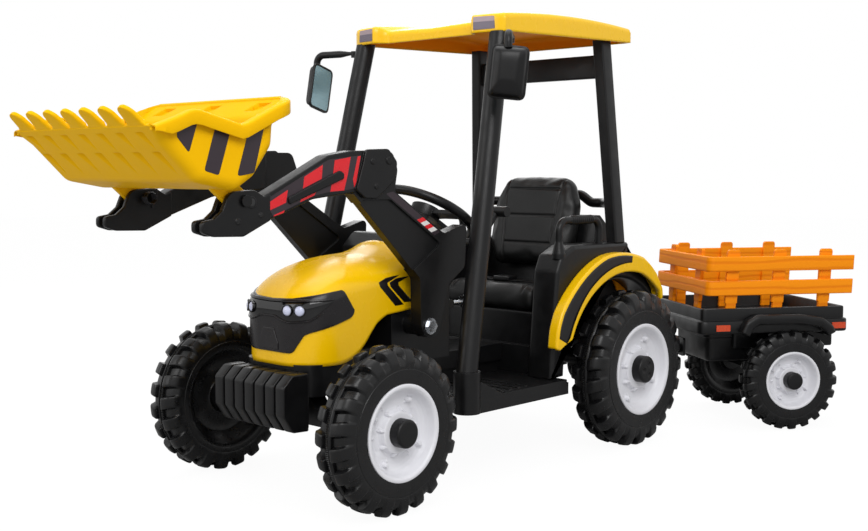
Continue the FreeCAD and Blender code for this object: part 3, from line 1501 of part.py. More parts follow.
def loader_pivot_shaft():
    body = new_body("loader_pivot_shaft")
    pivot = (-size("loader_pivot_fore"), size("loader_pivot_z"))
    face = "(arm_x + arm_rear_wall / 2 + seat_gap)"
    disc(body, "yz", "-%s - nut_height" % face, "2 * (%s + nut_height)" % face, pivot,
         "pivot_shaft_radius")
    hexagon = [(pivot[0] + size("nut_radius") * math.cos(i * math.pi / 3),
                pivot[1] + size("nut_radius") * math.sin(i * math.pi / 3)) for i in range(6)]
    for nut, washer in ((face, face), ("-%s - nut_height" % face, "-%s - washer_height" % face)):
        pad(body, "yz", nut, "nut_height", hexagon)
        disc(body, "yz", washer, "washer_height", pivot, "nut_radius * 1.25")
    return on_tractor(as_node(body, "loader_pivot_shaft"))


def loader_lever():
    # a bent bar from the left arm's rear plate to a cross grip beside the driver
    root = arm_point((-0.197, 0.47))
    grip_y = -size("loader_pivot_fore") + size("hand_grip_set_back")
    grip_z = size("loader_pivot_z") + size("hand_grip_rise")
    x = size("arm_x")
    bar = doc.addObject("Part::Feature", "lever_bar")
    radius = size("hand_lever_radius")
    foot = root[0] + size("seat_gap")
    knee = (root[0] + size("hand_lever_bend"), root[1])
    bar.Shape = tube([(x, foot, root[1], 0), (x, knee[0], knee[1], radius * 3), (x, grip_y, grip_z, 0)],
                     radius)
    grip = new_body("lever_grip")
    disc(grip, "yz", "arm_x - hand_grip_length / 2", "hand_grip_length", (grip_y, grip_z),
         "hand_grip_radius")
    whole = doc.addObject("Part::MultiFuse", "loader_lever")
    whole.Shapes = [bar, grip]
    on_tractor(whole)
    return as_node(whole, "loader_lever")


# bucket, drawn forwards and upwards from its pivot as shares of reach and height

bucket_outer_shares = (
    (1.0, 0.70), (0.63, 0.215, 0.15), (0.23, 0.12, 0.15), (0.05, 0.235, 0.15), (-0.14, 0.53, 0.15),
    (-0.16, 0.80, 0.08), (-0.34, 1.0))
bucket_side_shares = (
    (0.94, 0.68), (0.70, 0.83, 0.05), (0.23, 0.70, 0.05), (-0.30, 0.985))
tooth_angle_share = 0.5
bracket_shares = ((0.62, 0.225), (0.23, 0.125), (0.05, 0.225), (-0.06, 0.05), (0.06, -0.07), (0.40, 0.08))


def bucket_origin():
    return (-size("loader_pivot_fore") - size("bucket_pivot_reach"),
            size("loader_pivot_z") + size("bucket_pivot_rise"))


def bucket_outline(shares):
    return trace(shares, bucket_origin(), (-size("bucket_reach"), size("bucket_height")))


def bucket():
    body = new_body("bucket")
    wall = size("bucket_wall")
    outer = bucket_outline(bucket_outer_shares)
    sides = bucket_outline(bucket_side_shares)
    pad(body, "yz", "-bucket_half_width", "2 * bucket_half_width", outer + list(reversed(sides)))
    middle = (sum(c[0] for c in outer) / len(outer), sum(c[1] for c in outer) / len(outer))
    scoop = []
    for corner in outer:
        pull = vec(middle[0] - corner[0], middle[1] - corner[1], 0).normalize() * wall
        scoop.append((corner[0] + pull.x, corner[1] + pull.y, corner[2] if len(corner) > 2 else 0))
    lip = outer[0]
    back = outer[-1]
    high = size("bucket_height")
    scoop[0] = (lip[0] - wall, lip[1] + wall / 2, 0)
    scoop[-1] = (back[0] - wall, back[1] + wall, 0)
    scoop += [(back[0] - wall, back[1] + high), (lip[0] - wall, lip[1] + high)]
    cut(body, "yz", "-bucket_half_width + bucket_wall", "2 * bucket_half_width - 2 * bucket_wall", scoop)
    flange = [(c[0], c[1] + wall / 2, c[2]) for c in sides] + [(c[0], c[1] - wall,
                                                                c[2]) for c in reversed(sides)]
    for start in ("bucket_half_width - overrun", "-bucket_half_width - bucket_flange"):
        pad(body, "yz", start, "bucket_flange + overrun", flange)
    teeth(body, lip)
    slots(body, back)
    for start in ("arm_x - bucket_lug_width / 2", "-arm_x - bucket_lug_width / 2"):
        pad(body, "yz", start, "bucket_lug_width", bucket_outline(bracket_shares))
        disc(body, "yz", start, "bucket_lug_width", bucket_origin(), "bucket_lug_radius")
        bore(body, "yz", start + " - overrun", "bucket_lug_width + 2 * overrun", bucket_origin(),
             "bucket_pin_radius + running_clearance")
    return on_tractor(as_node(body, "bucket"))


def teeth(body, lip):
    # each tooth runs on from a stiffening rib under the floor plate and points forwards
    wall = size("bucket_wall")
    thick = size("tooth_thickness")
    length = size("tooth_length")
    rise = length * tooth_angle_share
    root = bucket_outline(((0.80, 0.44), (0.80, 0.44)))[0]
    rib = size("bucket_rib_height")
    profile = [(root[0], root[1]), (root[0] - rib, root[1] - rib / 2), (lip[0] - thick,
                                                                        lip[1] - thick / 2),
               (lip[0] - length, lip[1] + rise - thick / 2, wall / 2), (lip[0] - length, lip[1] + rise,
                                                                        wall / 2),
               (lip[0] + wall, lip[1] + wall)]
    first = "-tooth_pitch * (tooth_count - 1) / 2 - tooth_width / 2"
    tooth = pad(body, "yz", first, "tooth_width", profile)
    repeat_along(body, tooth, "tooth_count", "tooth_pitch * (tooth_count - 1)", "X_Axis")


def slots(body, back):
    # three grip slots through the back wall near its top edge
    wide = size("bucket_slot_width") / 2
    wall = size("bucket_wall")
    for i in (-1, 0, 1):
        middle = i * size("bucket_slot_pitch")
        cut(body, "xz", "%s - bucket_height / 3" % back[0], "bucket_height",
            block((middle - wide, back[1] - 4 * wall), (middle + wide, back[1] - 2 * wall), wall))


def bucket_pins():
    body = new_body("left_bucket_pin")
    disc(body, "yz", "arm_x - arm_width / 2", "arm_width + seat_gap", bucket_origin(), "bucket_pin_radius")
    disc(body, "yz", "arm_x + arm_width / 2 + seat_gap", "bucket_pin_head_height", bucket_origin(),
         "bucket_pin_head")
    on_tractor(body)
    return group("bucket_pins", [body, mirrored(body, "right_bucket_pin")])


def bucket_springs():
    # a torsion spring wound round the pin's inner end, with a straight leg out along the arm
    origin = bucket_origin()
    radius = size("spring_radius")
    wire = size("spring_wire") / 2
    pitch = size("spring_pitch")
    turns = int(size("spring_turns"))
    inner = size("arm_x") - size("arm_width") / 2 - wire - size("seat_gap")
    quarters = 4 * turns

    def on_coil(step):
        angle = step * math.pi / 8
        return vec(inner - pitch * step / 16, origin[0] + radius * math.cos(angle),
                   origin[1] + radius * math.sin(angle))

    edges = []
    for quarter in range(quarters):
        first = 4 * quarter
        edges.append(Part.Arc(on_coil(first), on_coil(first + 2), on_coil(first + 4)).toShape())
    path = Part.Wire(edges)
    start = on_coil(0)
    ring = Part.Wire(Part.Circle(start, on_coil(0.01) - start, wire).toShape())
    coil = path.makePipeShell([ring], True, False)
    print("spring gap between turns", round(pitch - 2 * wire, 3))
    spring = doc.addObject("Part::Feature", "left_spring")
    spring.Shape = coil
    on_tractor(spring)
    return group("bucket_springs", [spring, mirrored(spring, "right_spring")])


# trailer

arch_trim_shares = ((-0.62, 0.80), (-0.42, 1.0, 0.12), (0.42, 1.0, 0.12), (0.62, 0.80))
reflector_front_share = 1.13
reflector_rear_share = 1.32


def trailer_bed():
    body = new_body("trailer_bed")
    half = size("bed_half_width")
    front = size("bed_front")
    rear = front + size("bed_length")
    step = size("bed_step_inset")
    wall = size("bed_wall")
    corner = 2 * size("bed_step_inset")
    pad(body, "xy", "bed_skirt_bottom", "bed_step - bed_skirt_bottom", block((-half, front), (half, rear),
                                                                             corner))
    pad(body, "xy", "bed_step", "bed_rim_top - bed_step",
        block((-half + step, front + step), (half - step, rear - step), corner))
    edge = step + wall
    cut(body, "xy", "bed_floor", "bed_rim_top - bed_floor + overrun",
        block((-half + edge, front + edge), (half - edge, rear - edge), step))
    cut(body, "xy", "bed_skirt_bottom - overrun",
        "bed_floor - bed_floor_thickness - bed_skirt_bottom + overrun",
        block((-half + wall, front + wall), (half - wall, rear - wall), step))
    under = size("bed_floor") - size("bed_floor_thickness")
    tub = size("tub_half_width")
    tub_front = size("tub_front")
    pad(body, "xy", "tub_bottom", "bed_floor - bed_floor_thickness / 2 - tub_bottom",
        block((-tub, tub_front), (tub, tub_front + size("tub_length")), step))
    axle = (size("trailer_axle_y"), size("trailer_tyre_radius"))
    reach = size("hanger_half_length")
    arch = size("wheel_arch_radius")
    for side in (1, -1):
        start = "hanger_x" if side > 0 else "-hanger_x - hanger_width"
        pad(body, "yz", start, "hanger_width",
            [(axle[0] - reach, under + wall / 2), (axle[0] - reach, axle[1] - reach, reach),
             (axle[0] + reach, axle[1] - reach, reach), (axle[0] + reach, under + wall / 2)])
        inner = "bed_half_width - bed_wall" if side > 0 else "-wheel_arch_outer_x"
        arch_width = "wheel_arch_outer_x - bed_half_width + bed_wall"
        outside = arch + size("wheel_arch_wall")
        pad(body, "yz", inner, arch_width,
            trace(arch_trim_shares, axle, (outside, outside)))
        start = "bed_half_width - bed_wall - overrun" if side > 0 else "-wheel_arch_outer_x - overrun"
        bore(body, "yz", start,
             arch_width + " + 2 * overrun", axle, "wheel_arch_radius")
    bore(body, "yz", "-hanger_x - hanger_width - overrun", "2 * (hanger_x + hanger_width + overrun)", axle,
         "axle_radius + fixed_clearance")
    return on_trailer(as_node(body, "trailer_bed"))


def trailer_chassis():
    bar = new_body("drawbar")
    low = size("hitch_plate_top") + size("seat_gap")
    high = low + size("drawbar_height")
    half = size("drawbar_half_width")
    pad(bar, "xz", "0", "tub_front - drawbar_flange / 2", block((-half, low), (half, high), half / 4))
    disc(bar, "xy", "hitch_plate_top + seat_gap", "drawbar_height", (0, 0), "eye_radius")
    flange = size("drawbar_flange_half")
    pad(bar, "xz", "tub_front - drawbar_flange", "drawbar_flange",
        block((-flange, size("tub_bottom") + flange / 6), (flange, high + flange / 2), half / 2))
    bore(bar, "xy", "hitch_plate_top - overrun", "drawbar_height + 2 * overrun", (0, 0),
         "hitch_pin_radius + running_clearance")
    on_trailer(bar)
    axle = new_body("trailer_axle")
    reach = "(trailer_wheel_x + trailer_tyre_width / 2 - rim_recess + rim_hub_height - seat_gap)"
    disc(axle, "yz", "-" + reach, "2 * " + reach, (size("trailer_axle_y"), size("trailer_tyre_radius")),
         "axle_radius")
    on_trailer(axle)
    return group("trailer_chassis", [bar, axle])


def fence_front():
    body = new_body("fence_front")
    half = size("fence_half_width") - size("fence_rail") - size("seat_gap")
    for level in ("fence_high_rail", "fence_low_rail"):
        low = size(level)
        pad(body, "xz", "fence_front", "fence_rail", block((-half, low), (half,
                                                                          low + size("fence_rail_height")),
                                                             size("seat_gap")))
        if level == "fence_high_rail":
            wide = size("fence_post_width") / 2
            for side in (1, -1):
                x = side * size("fence_front_post_x")
                pad(body, "xz", "fence_front + fence_rail", "fence_post",
                    [(x - wide * 0.85, size("bed_floor")), (x + wide * 0.85, size("bed_floor")),
                     (x + wide, size("fence_low_rail")), (x + wide, size("fence_top"), wide / 4),
                     (x - wide, size("fence_top"), wide / 4), (x - wide, size("fence_low_rail"))])
    return on_trailer(as_node(body, "fence_front"))


def fence_sides():
    sides = []
    for side in (1, -1):
        body = new_body("fence_side")
        outer = "fence_half_width - fence_rail" if side > 0 else "-fence_half_width"
        inner = "-fence_half_width + fence_rail"
        if side > 0:
            inner = "fence_half_width - fence_rail - fence_post"
        front = size("fence_front")
        rear = front + size("fence_length")
        wide = size("fence_post_width") / 2
        low = size("fence_high_rail")
        pad(body, "yz", outer, "fence_rail", block((front, low), (rear, low + size("fence_rail_height")),
                                                   size("seat_gap")))
        for i in (-1, 0, 1):
            middle = size("fence_front") + size("fence_length") / 2 - size("fence_rail") / 2
            y = middle + i * size("fence_side_post_pitch")
            pad(body, "yz", inner, "fence_post",
                [(y - wide * 0.85, size("bed_floor")), (y + wide * 0.85, size("bed_floor")),
                 (y + wide, size("fence_low_rail")), (y + wide, size("fence_top"), wide / 4),
                 (y - wide, size("fence_top"), wide / 4), (y - wide, size("fence_low_rail"))])
        low = size("fence_low_rail")
        pad(body, "yz", outer, "fence_rail", block((front, low), (rear, low + size("fence_rail_height")),
                                                   size("seat_gap")))
        on_trailer(body)
        sides.append(body)
    return group("fence_sides", sides)


def trailer_reflectors():
    front = size("bed_front")
    length = size("reflector_length")
    low = size("reflector_z")
    high = low + size("reflector_height")
    lamps = []
    for side in (1, -1):
        start = "bed_half_width" if side > 0 else "-bed_half_width - reflector_depth"
        for y in (front + reflector_front_share * length,
                  front + size("bed_length") - reflector_rear_share * length):
            lamp = new_body("side_reflector")
            pad(lamp, "yz", start, "reflector_depth", block((y, low), (y + length, high),
                                                            size("reflector_depth") / 2))
            on_trailer(lamp)
            lamps.append(lamp)
        tail = new_body("tail_lamp")
        x = side * size("tail_lamp_x")
        pad(tail, "xz", "bed_front + bed_length", "tail_lamp_depth",
            block((x - length / 2, low), (x + length / 2, high), size("reflector_depth")))
        on_trailer(tail)
        lamps.append(tail)
    return group("trailer_reflectors", lamps)


tractor_wheel("front", "-wheelbase")
tractor_wheel("rear", "0")
trailer_wheel()
chassis()
knuckles()
tie_rod()
rear_axle()
drive_motors()
battery()
hood()
grille_mask()
headlights()
front_weights()
dashboard()
steering()
start_button()
direction_lever()
accelerator_pedal()
footwell()
rear_body()
seat_cushion()
seat_back()
seat_belt()
fenders()
grab_handles()
front_posts()
rear_post_frame()
roof()
roof_lamps()
mirror(1, "left_mirror", "left_mirror_swivel")
mirror(-1, "right_mirror", "right_mirror_swivel")
loader_arm_rears()
loader_arm_fronts()
loader_pivot_shaft()
loader_lever()
bucket()
bucket_pins()
bucket_springs()
trailer_bed()
trailer_chassis()
fence_front()
fence_sides()
trailer_reflectors()
doc.recompute()

failed = [item.Label for item in doc.Objects if "Invalid" in item.State or "Error" in item.State]
for item in nodes:
    if item.Shape.isNull() or not item.Shape.isValid() or not item.Shape.Solids:
        failed.append(item.Label)
if failed:
    raise SystemExit("failed: " + ", ".join(failed))
os.makedirs("parts", exist_ok=True)
box = FreeCAD.BoundBox()
for item in nodes:
    item.Shape.exportStep("parts/%s.step" % item.Label)
    box.add(item.Shape.BoundBox)
print(len(nodes), "nodes", box)
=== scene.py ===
import bmesh
import bpy
import math
import numpy as np
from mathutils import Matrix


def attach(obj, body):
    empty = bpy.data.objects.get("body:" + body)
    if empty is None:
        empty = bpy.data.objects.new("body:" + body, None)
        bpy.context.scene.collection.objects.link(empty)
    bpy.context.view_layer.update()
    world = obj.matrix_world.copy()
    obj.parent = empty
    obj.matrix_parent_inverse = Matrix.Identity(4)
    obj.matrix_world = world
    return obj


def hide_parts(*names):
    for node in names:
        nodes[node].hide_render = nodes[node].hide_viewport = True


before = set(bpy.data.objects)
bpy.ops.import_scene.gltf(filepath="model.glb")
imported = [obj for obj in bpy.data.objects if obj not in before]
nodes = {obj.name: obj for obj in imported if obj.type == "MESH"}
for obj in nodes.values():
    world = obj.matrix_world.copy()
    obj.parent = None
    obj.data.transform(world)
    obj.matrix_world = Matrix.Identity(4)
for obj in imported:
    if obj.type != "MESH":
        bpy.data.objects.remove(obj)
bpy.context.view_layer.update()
scene = bpy.context.scene
scene.view_settings.view_transform = "Standard"
print("frame loaded:", len(nodes), "nodes")

# Shapes are worked out in tractor millimetres: +X left, +Y rear, +Z up, from the ground under the rear axle.
footprint = np.array([100.605, -289.76, 0.0])
trailerTurn = {"yaw": math.radians(-35.0), "hitch": np.array([0.0, 55.0, 0.0])}
mirrored = np.array([-1, 1, 1])
weldGap = 0.00005


def onTractor(points):
    return (np.asarray(points, float) - footprint) / 1000


def onTrailer(points):
    # trailer millimetres start at the hitch pin and are turned by its yaw
    p = np.asarray(points, float)
    c, s = math.cos(trailerTurn["yaw"]), math.sin(trailerTurn["yaw"])
    turned = np.stack([p[:, 0] * c - p[:, 1] * s, p[:, 0] * s + p[:, 1] * c, p[:, 2]], axis=1)
    return onTractor(turned + trailerTurn["hitch"])


def hexLinear(text):
    v = np.array([int(text[i:i + 2], 16) for i in (1, 3, 5)]) / 255
    lin = np.where(v <= 0.04045, v / 12.92, ((v + 0.055) / 1.055) ** 2.4)
    return (float(lin[0]), float(lin[1]), float(lin[2]), 1.0)


def addNode(tree, kind, settings=None, links=None):
    node = tree.nodes.new(kind)
    for key, value in (settings or {}).items():
        if isinstance(key, int) or key in node.inputs:
            node.inputs[key].default_value = value
        else:
            setattr(node, key, value)
    for key, source in (links or {}).items():
        tree.links.new(source, node.inputs[key])
    return node


def newMaterial(name, settings):
    # a material whose shader has its plain values set
    material = bpy.data.materials.new(name)
    material.use_nodes = True
    tree = material.node_tree
    shader = tree.nodes["Principled BSDF"]
    for key, value in settings.items():
        shader.inputs[key].default_value = value
    return material, tree, shader


# what most of the plastics share; each look names only what differs
plainLook = {"driftMm": 90, "scuffMm": 20, "rough": 0.36, "swing": 0.05, "grainMm": 3.0, "grain": 0.03, "edgeMm": 0.4,
             "ior": 1.5, "specular": 0.5, "metallic": 0.0, "glow": 0.0}


def mouldedPlastic(name, ownLook):
    # one family of moulded plastics: slow colour drift, uneven gloss, fine tool grain and softened edges
    look = {**plainLook, **ownLook}
    material, tree, shader = newMaterial(name, {
        "IOR": look["ior"], "Specular IOR Level": look["specular"], "Metallic": look["metallic"],
        "Emission Color": hexLinear(look["colour"]), "Emission Strength": look["glow"]})
    place = addNode(tree, "ShaderNodeTexCoord").outputs["Object"]
    drift = addNode(tree, "ShaderNodeTexNoise", {"Scale": 1000 / look["driftMm"], "Detail": 3.0}, {"Vector": place})
    colour = addNode(tree, "ShaderNodeMix", {"data_type": "RGBA", 6: hexLinear(look["shade"]),
                                             7: hexLinear(look["colour"])}, {0: drift.outputs["Fac"]})
    tree.links.new(colour.outputs[2], shader.inputs["Base Color"])
    scuff = addNode(tree, "ShaderNodeTexNoise", {"Scale": 1000 / look["scuffMm"], "Detail": 6.0}, {"Vector": place})
    gloss = addNode(tree, "ShaderNodeMapRange", {1: 0.3, 2: 0.7, 3: look["rough"] - look["swing"],
                                                 4: look["rough"] + look["swing"]}, {0: scuff.outputs["Fac"]})
    tree.links.new(gloss.outputs[0], shader.inputs["Roughness"])
    grain = addNode(tree, "ShaderNodeTexNoise", {"Scale": 1000 / look["grainMm"], "Detail": 2.0}, {"Vector": place})
    edge = addNode(tree, "ShaderNodeBevel", {"samples": 4, "Radius": look["edgeMm"] / 1000})
    bump = addNode(tree, "ShaderNodeBump", {"Strength": look["grain"], "Distance": 0.0005},
                   {"Height": grain.outputs["Fac"], "Normal": edge.outputs["Normal"]})
    tree.links.new(bump.outputs["Normal"], shader.inputs["Normal"])
    return material


looks = {
    # injection moulded ABS in warm yellow: a deep even gloss with a faint orange peel
    "yellowAbs": {"colour": "#fdc900", "shade": "#f6c100", "driftMm": 160, "scuffMm": 40, "rough": 0.27,
                  "grainMm": 6, "edgeMm": 2.0, "ior": 1.53, "specular": 0.36},
    # blow moulded polyethylene bucket in the same yellow: a soft satin that keeps its colour in the shade
    "bucketPolyethylene": {"colour": "#f9c000", "shade": "#f2b800", "driftMm": 160, "scuffMm": 40, "rough": 0.5,
                           "grainMm": 4, "edgeMm": 2.0, "ior": 1.51, "specular": 0.08},
    # the roof's inside and the fender tails: the same yellow deepened to orange as painted shade, standing for shadow
    # and light bounced between yellow faces
    "liningAbs": {"colour": "#fa9c00", "shade": "#f59200", "driftMm": 160, "scuffMm": 40, "rough": 0.45,
                  "grainMm": 4, "edgeMm": 1.0, "ior": 1.53, "specular": 0.13},
    # the floor of a deep slot in the bucket: painted shade, the yellow darkened to burnt orange, with hardly any gloss
    "slotPolyethylene": {"colour": "#a3490a", "shade": "#923d08", "driftMm": 20, "scuffMm": 10, "rough": 0.6,
                         "grainMm": 4, "edgeMm": 0.5, "ior": 1.51, "specular": 0.1},
    # blow moulded black polypropylene: satin, with a fine tool grain that breaks up highlights
    "blackPolypropylene": {"colour": "#111112", "shade": "#0c0c0d", "driftMm": 120, "scuffMm": 30, "swing": 0.08,
                           "grainMm": 1.6, "grain": 0.1, "edgeMm": 1.8, "ior": 1.49, "specular": 0.27},
    # blow moulded polyethylene tyres: smoother than the bodywork, with soft streaky highlights
    "tyrePolyethylene": {"colour": "#111112", "shade": "#0b0b0c", "driftMm": 60, "scuffMm": 18, "rough": 0.31,
                         "swing": 0.08, "grainMm": 2.4, "grain": 0.08, "edgeMm": 1.2, "ior": 1.51, "specular": 0.3},
    # pale grey injection moulded wheel covers: low satin sheen
    "rimPolypropylene": {"colour": "#e6e6ea", "shade": "#dcdce2", "driftMm": 80, "scuffMm": 25, "grainMm": 2.0,
                         "grain": 0.04, "edgeMm": 1.0, "ior": 1.49, "specular": 0.4},
    # charcoal grille mask in polished ABS: cooler and glossier than the body black
    "charcoalAbs": {"colour": "#1a1719", "shade": "#131012", "scuffMm": 30, "rough": 0.26, "edgeMm": 1.2,
                    "ior": 1.53, "specular": 0.34},
    # piano black lamp band: nearly mirror smooth
    "lampBandBlack": {"colour": "#0c0b0d", "shade": "#080809", "scuffMm": 30, "rough": 0.1, "swing": 0.03,
                      "grainMm": 6.0, "grain": 0.01, "edgeMm": 1.0, "ior": 1.53},
    # red and dark vinyl stickers: flat colour films with a soft gloss
    "redVinyl": {"colour": "#e0202a", "shade": "#d41a24", "rough": 0.3, "grain": 0.02, "specular": 0.4},
    "charcoalVinyl": {"colour": "#352b31", "shade": "#2c2329", "grain": 0.02, "specular": 0.35},
    "blackVinyl": {"colour": "#141112", "shade": "#0f0d0e", "grain": 0.02, "specular": 0.35},
    "whiteVinyl": {"colour": "#e8e6e4", "shade": "#dddad8", "grain": 0.02, "specular": 0.4},
    # zinc plated steel: bright, with a faint drawn texture
    "zincSteel": {"colour": "#c9ccd0", "shade": "#b4b7bc", "driftMm": 20, "scuffMm": 8, "rough": 0.27, "swing": 0.08,
                  "grainMm": 0.9, "grain": 0.06, "edgeMm": 0.5, "metallic": 1.0},
    # amber red reflector acrylic: glossy and saturated
    "reflectorAcrylic": {"colour": "#e0562a", "shade": "#b83418", "driftMm": 5, "scuffMm": 10, "rough": 0.12,
                         "swing": 0.03, "grainMm": 2.2, "grain": 0.25, "edgeMm": 0.6, "ior": 1.49},
    # lit lamp lens: clear acrylic over a white diode
    "lampAcrylic": {"colour": "#d9ddf0", "shade": "#b4bad8", "driftMm": 8, "scuffMm": 10, "rough": 0.08,
                    "swing": 0.02, "edgeMm": 0.5, "ior": 1.49, "glow": 0.05},
    # silvered mirror foil: its blue grey is a painted reflection; nearly smooth, with the metal sheen turned low
    "reflectionPaintedFoil": {"colour": "#93b4bd", "shade": "#88aab4", "driftMm": 60, "scuffMm": 60, "rough": 0.16,
                   "swing": 0.02, "grainMm": 30, "grain": 0.02, "edgeMm": 0.3, "metallic": 0.3},
    # moulded leatherette seat skin: a soft sheen over a pebbled grain
    "seatLeatherette": {"colour": "#101010", "shade": "#0b0b0b", "driftMm": 70, "scuffMm": 25, "rough": 0.4,
                        "swing": 0.06, "grainMm": 2.2, "grain": 0.22, "edgeMm": 1.5, "specular": 0.3},
    # oiled spring steel: dark, with small bright glints on each turn
    "springSteel": {"colour": "#3a3a3d", "shade": "#29292b", "driftMm": 12, "scuffMm": 6, "rough": 0.32,
                    "swing": 0.06, "grainMm": 0.9, "grain": 0.04, "edgeMm": 0.3, "metallic": 0.9},
    # woven polyester lap strap: dull black with a fine cross grain
    "strapWebbing": {"colour": "#161617", "shade": "#0d0d0e", "driftMm": 3, "scuffMm": 4, "rough": 0.62,
                     "swing": 0.08, "grainMm": 0.8, "grain": 0.35, "specular": 0.2},
}
finish = {name: mouldedPlastic(name, look) for name, look in looks.items()}


def fenceMaterial():
    # orange polyethylene boards moulded with a wood grain: dark wavy lines run along each board
    look = {"colour": "#fd940a", "line": "#ee8206", "lineMm": 3.6, "stretch": 0.12, "wander": 22.0, "bendM": 0.03}
    material, tree, shader = newMaterial("fencePolyethylene",
                                         {"Roughness": 0.5, "IOR": 1.51, "Specular IOR Level": 0.14})
    place = addNode(tree, "ShaderNodeTexCoord").outputs["Object"]
    turn = addNode(tree, "ShaderNodeMapping", {"vector_type": "TEXTURE", "Rotation": (0, 0, trailerTurn["yaw"])},
                   {"Vector": place})
    along = addNode(tree, "ShaderNodeMapping", {"Scale": (look["stretch"], look["stretch"], 1.0)},
                    {"Vector": turn.outputs[0]})
    wander = addNode(tree, "ShaderNodeTexNoise", {"Scale": look["wander"], "Detail": 2.0}, {"Vector": along.outputs[0]})
    bend = addNode(tree, "ShaderNodeVectorMath", {"operation": "MULTIPLY_ADD", 1: (0, 0, look["bendM"])},
                   {0: wander.outputs["Color"], 2: along.outputs[0]})
    # a wave texture's scale of 1 repeats about twenty times in a metre
    lines = addNode(tree, "ShaderNodeTexWave", {"wave_type": "BANDS", "bands_direction": "Z",
                                                "Scale": 1000 / look["lineMm"] / 20, "Distortion": 1.5, "Detail": 2.0,
                                                "Detail Scale": 2.0}, {"Vector": bend.outputs[0]})
    sharp = addNode(tree, "ShaderNodeMapRange", {1: 0.0, 2: 0.35, 3: 0.0, 4: 1.0}, {0: lines.outputs["Fac"]})
    colour = addNode(tree, "ShaderNodeMix", {"data_type": "RGBA", 6: hexLinear(look["line"]),
                                             7: hexLinear(look["colour"])}, {0: sharp.outputs[0]})
    tree.links.new(colour.outputs[2], shader.inputs["Base Color"])
    edge = addNode(tree, "ShaderNodeBevel", {"samples": 4, "Radius": 0.002})
    bump = addNode(tree, "ShaderNodeBump", {"Strength": 0.35, "Distance": 0.001},
                   {"Height": sharp.outputs[0], "Normal": edge.outputs["Normal"]})
    tree.links.new(bump.outputs["Normal"], shader.inputs["Normal"])
    return material


finish["fencePolyethylene"] = fenceMaterial()
print("materials made:", len(finish))


# mesh helpers

def unit(vectors):
    return vectors / np.linalg.norm(vectors, axis=-1, keepdims=True)


def eased(k):
    # from 0 to 1 with a slow start and a slow end
    return k * k * (3 - 2 * k)


def fullTurn(count):
    # even angles once round
    return np.linspace(0, 2 * math.pi, count, endpoint=False)


def sampleLine(line, count):
    # even steps along a line
    step = np.concatenate([[0], np.cumsum(np.linalg.norm(np.diff(line, axis=0), axis=1))])
    t = np.linspace(0, step[-1], count)
    return np.stack([np.interp(t, step, line[:, k]) for k in range(line.shape[1])], axis=1), t


def gridFaces(rows, cols, closeRows=False, closeCols=False):
    r = np.arange(rows if closeRows else rows - 1)
    c = np.arange(cols if closeCols else cols - 1)
    a, b = np.meshgrid(r, c, indexing="ij")
    a2, b2 = (a + 1) % rows, (b + 1) % cols
    return np.stack([a * cols + b, a2 * cols + b, a2 * cols + b2, a * cols + b2], axis=-1).reshape(-1, 4)


def facingOut(points, faces, middle=None):
    # flips all faces when most of them look towards the middle
    p = points[faces]
    normal = np.cross(p[:, 2] - p[:, 0], p[:, 3] - p[:, 1])
    centre = points.mean(axis=0) if middle is None else np.asarray(middle, float)
    out = np.einsum("ij,ij->i", normal, p.mean(axis=1) - centre).sum()
    return faces if out > 0 else faces[:, ::-1]


def joinGrids(parts):
    # stacks several point and face arrays into one mesh
    starts = np.cumsum([0] + [len(points) for points, _ in parts])
    return (np.concatenate([points for points, _ in parts]),
            np.concatenate([faces + start for (_, faces), start in zip(parts, starts)]))


def bothHalves(grid, middle):
    # a grid and its mirror image in one mesh, each half facing away from its own middle
    faces = gridFaces(*grid.shape[:2])
    left = grid.reshape(-1, 3)
    right = left * mirrored
    return joinGrids([(left, facingOut(left, faces, middle)),
                      (right, facingOut(right, faces, np.array(middle) * mirrored))])


def addPiece(name, points, faces, material, body, slot, replaced=(), space=onTractor, smooth=50, wall=0, extra=()):
    # extra holds faces with more than four corners, such as flat ends
    mesh = bpy.data.meshes.new(name)
    mesh.from_pydata(space(points).tolist(), [], np.asarray(faces).tolist() + list(extra))
    mesh.validate()
    mesh.polygons.foreach_set("use_smooth", np.ones(len(mesh.polygons), dtype=bool))
    mesh.set_sharp_from_angle(angle=math.radians(smooth))
    piece = bpy.data.objects.new(name, mesh)
    scene.collection.objects.link(piece)
    mesh.materials.append(finish[material])
    if wall:
        thick = piece.modifiers.new("wall", "SOLIDIFY")
        thick.thickness = wall / 1000
        thick.offset = -1.0
        thick.use_even_offset = False
    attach(piece, body)
    if replaced:
        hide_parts(*replaced)
    return piece


def mend(piece, gap=0):
    # joins points within the gap, turns all faces outwards and keeps flat ends flat beside their rounded rims
    work = bmesh.new()
    work.from_mesh(piece.data)
    if gap:
        bmesh.ops.remove_doubles(work, verts=work.verts, dist=gap)
    bmesh.ops.recalc_face_normals(work, faces=work.faces)
    work.to_mesh(piece.data)
    work.free()
    corners = np.empty(len(piece.data.polygons), dtype=np.int32)
    piece.data.polygons.foreach_get("loop_total", corners)
    piece.data.polygons.foreach_set("use_smooth", corners < 5)


def addSolids(name, solids, material, body, slot, replaced=(), space=onTractor, smooth=40, gap=0):
    # several closed solids (points, faces, ends) in one piece
    starts = np.cumsum([0] + [len(solid[0]) for solid in solids]).tolist()
    ends = [[i + start for i in ring] for solid, start in zip(solids, starts) for ring in solid[2]]
    points, faces = joinGrids([solid[:2] for solid in solids])
    mend(addPiece(name, points, faces, material, body, slot, replaced, space, smooth, extra=ends), gap)


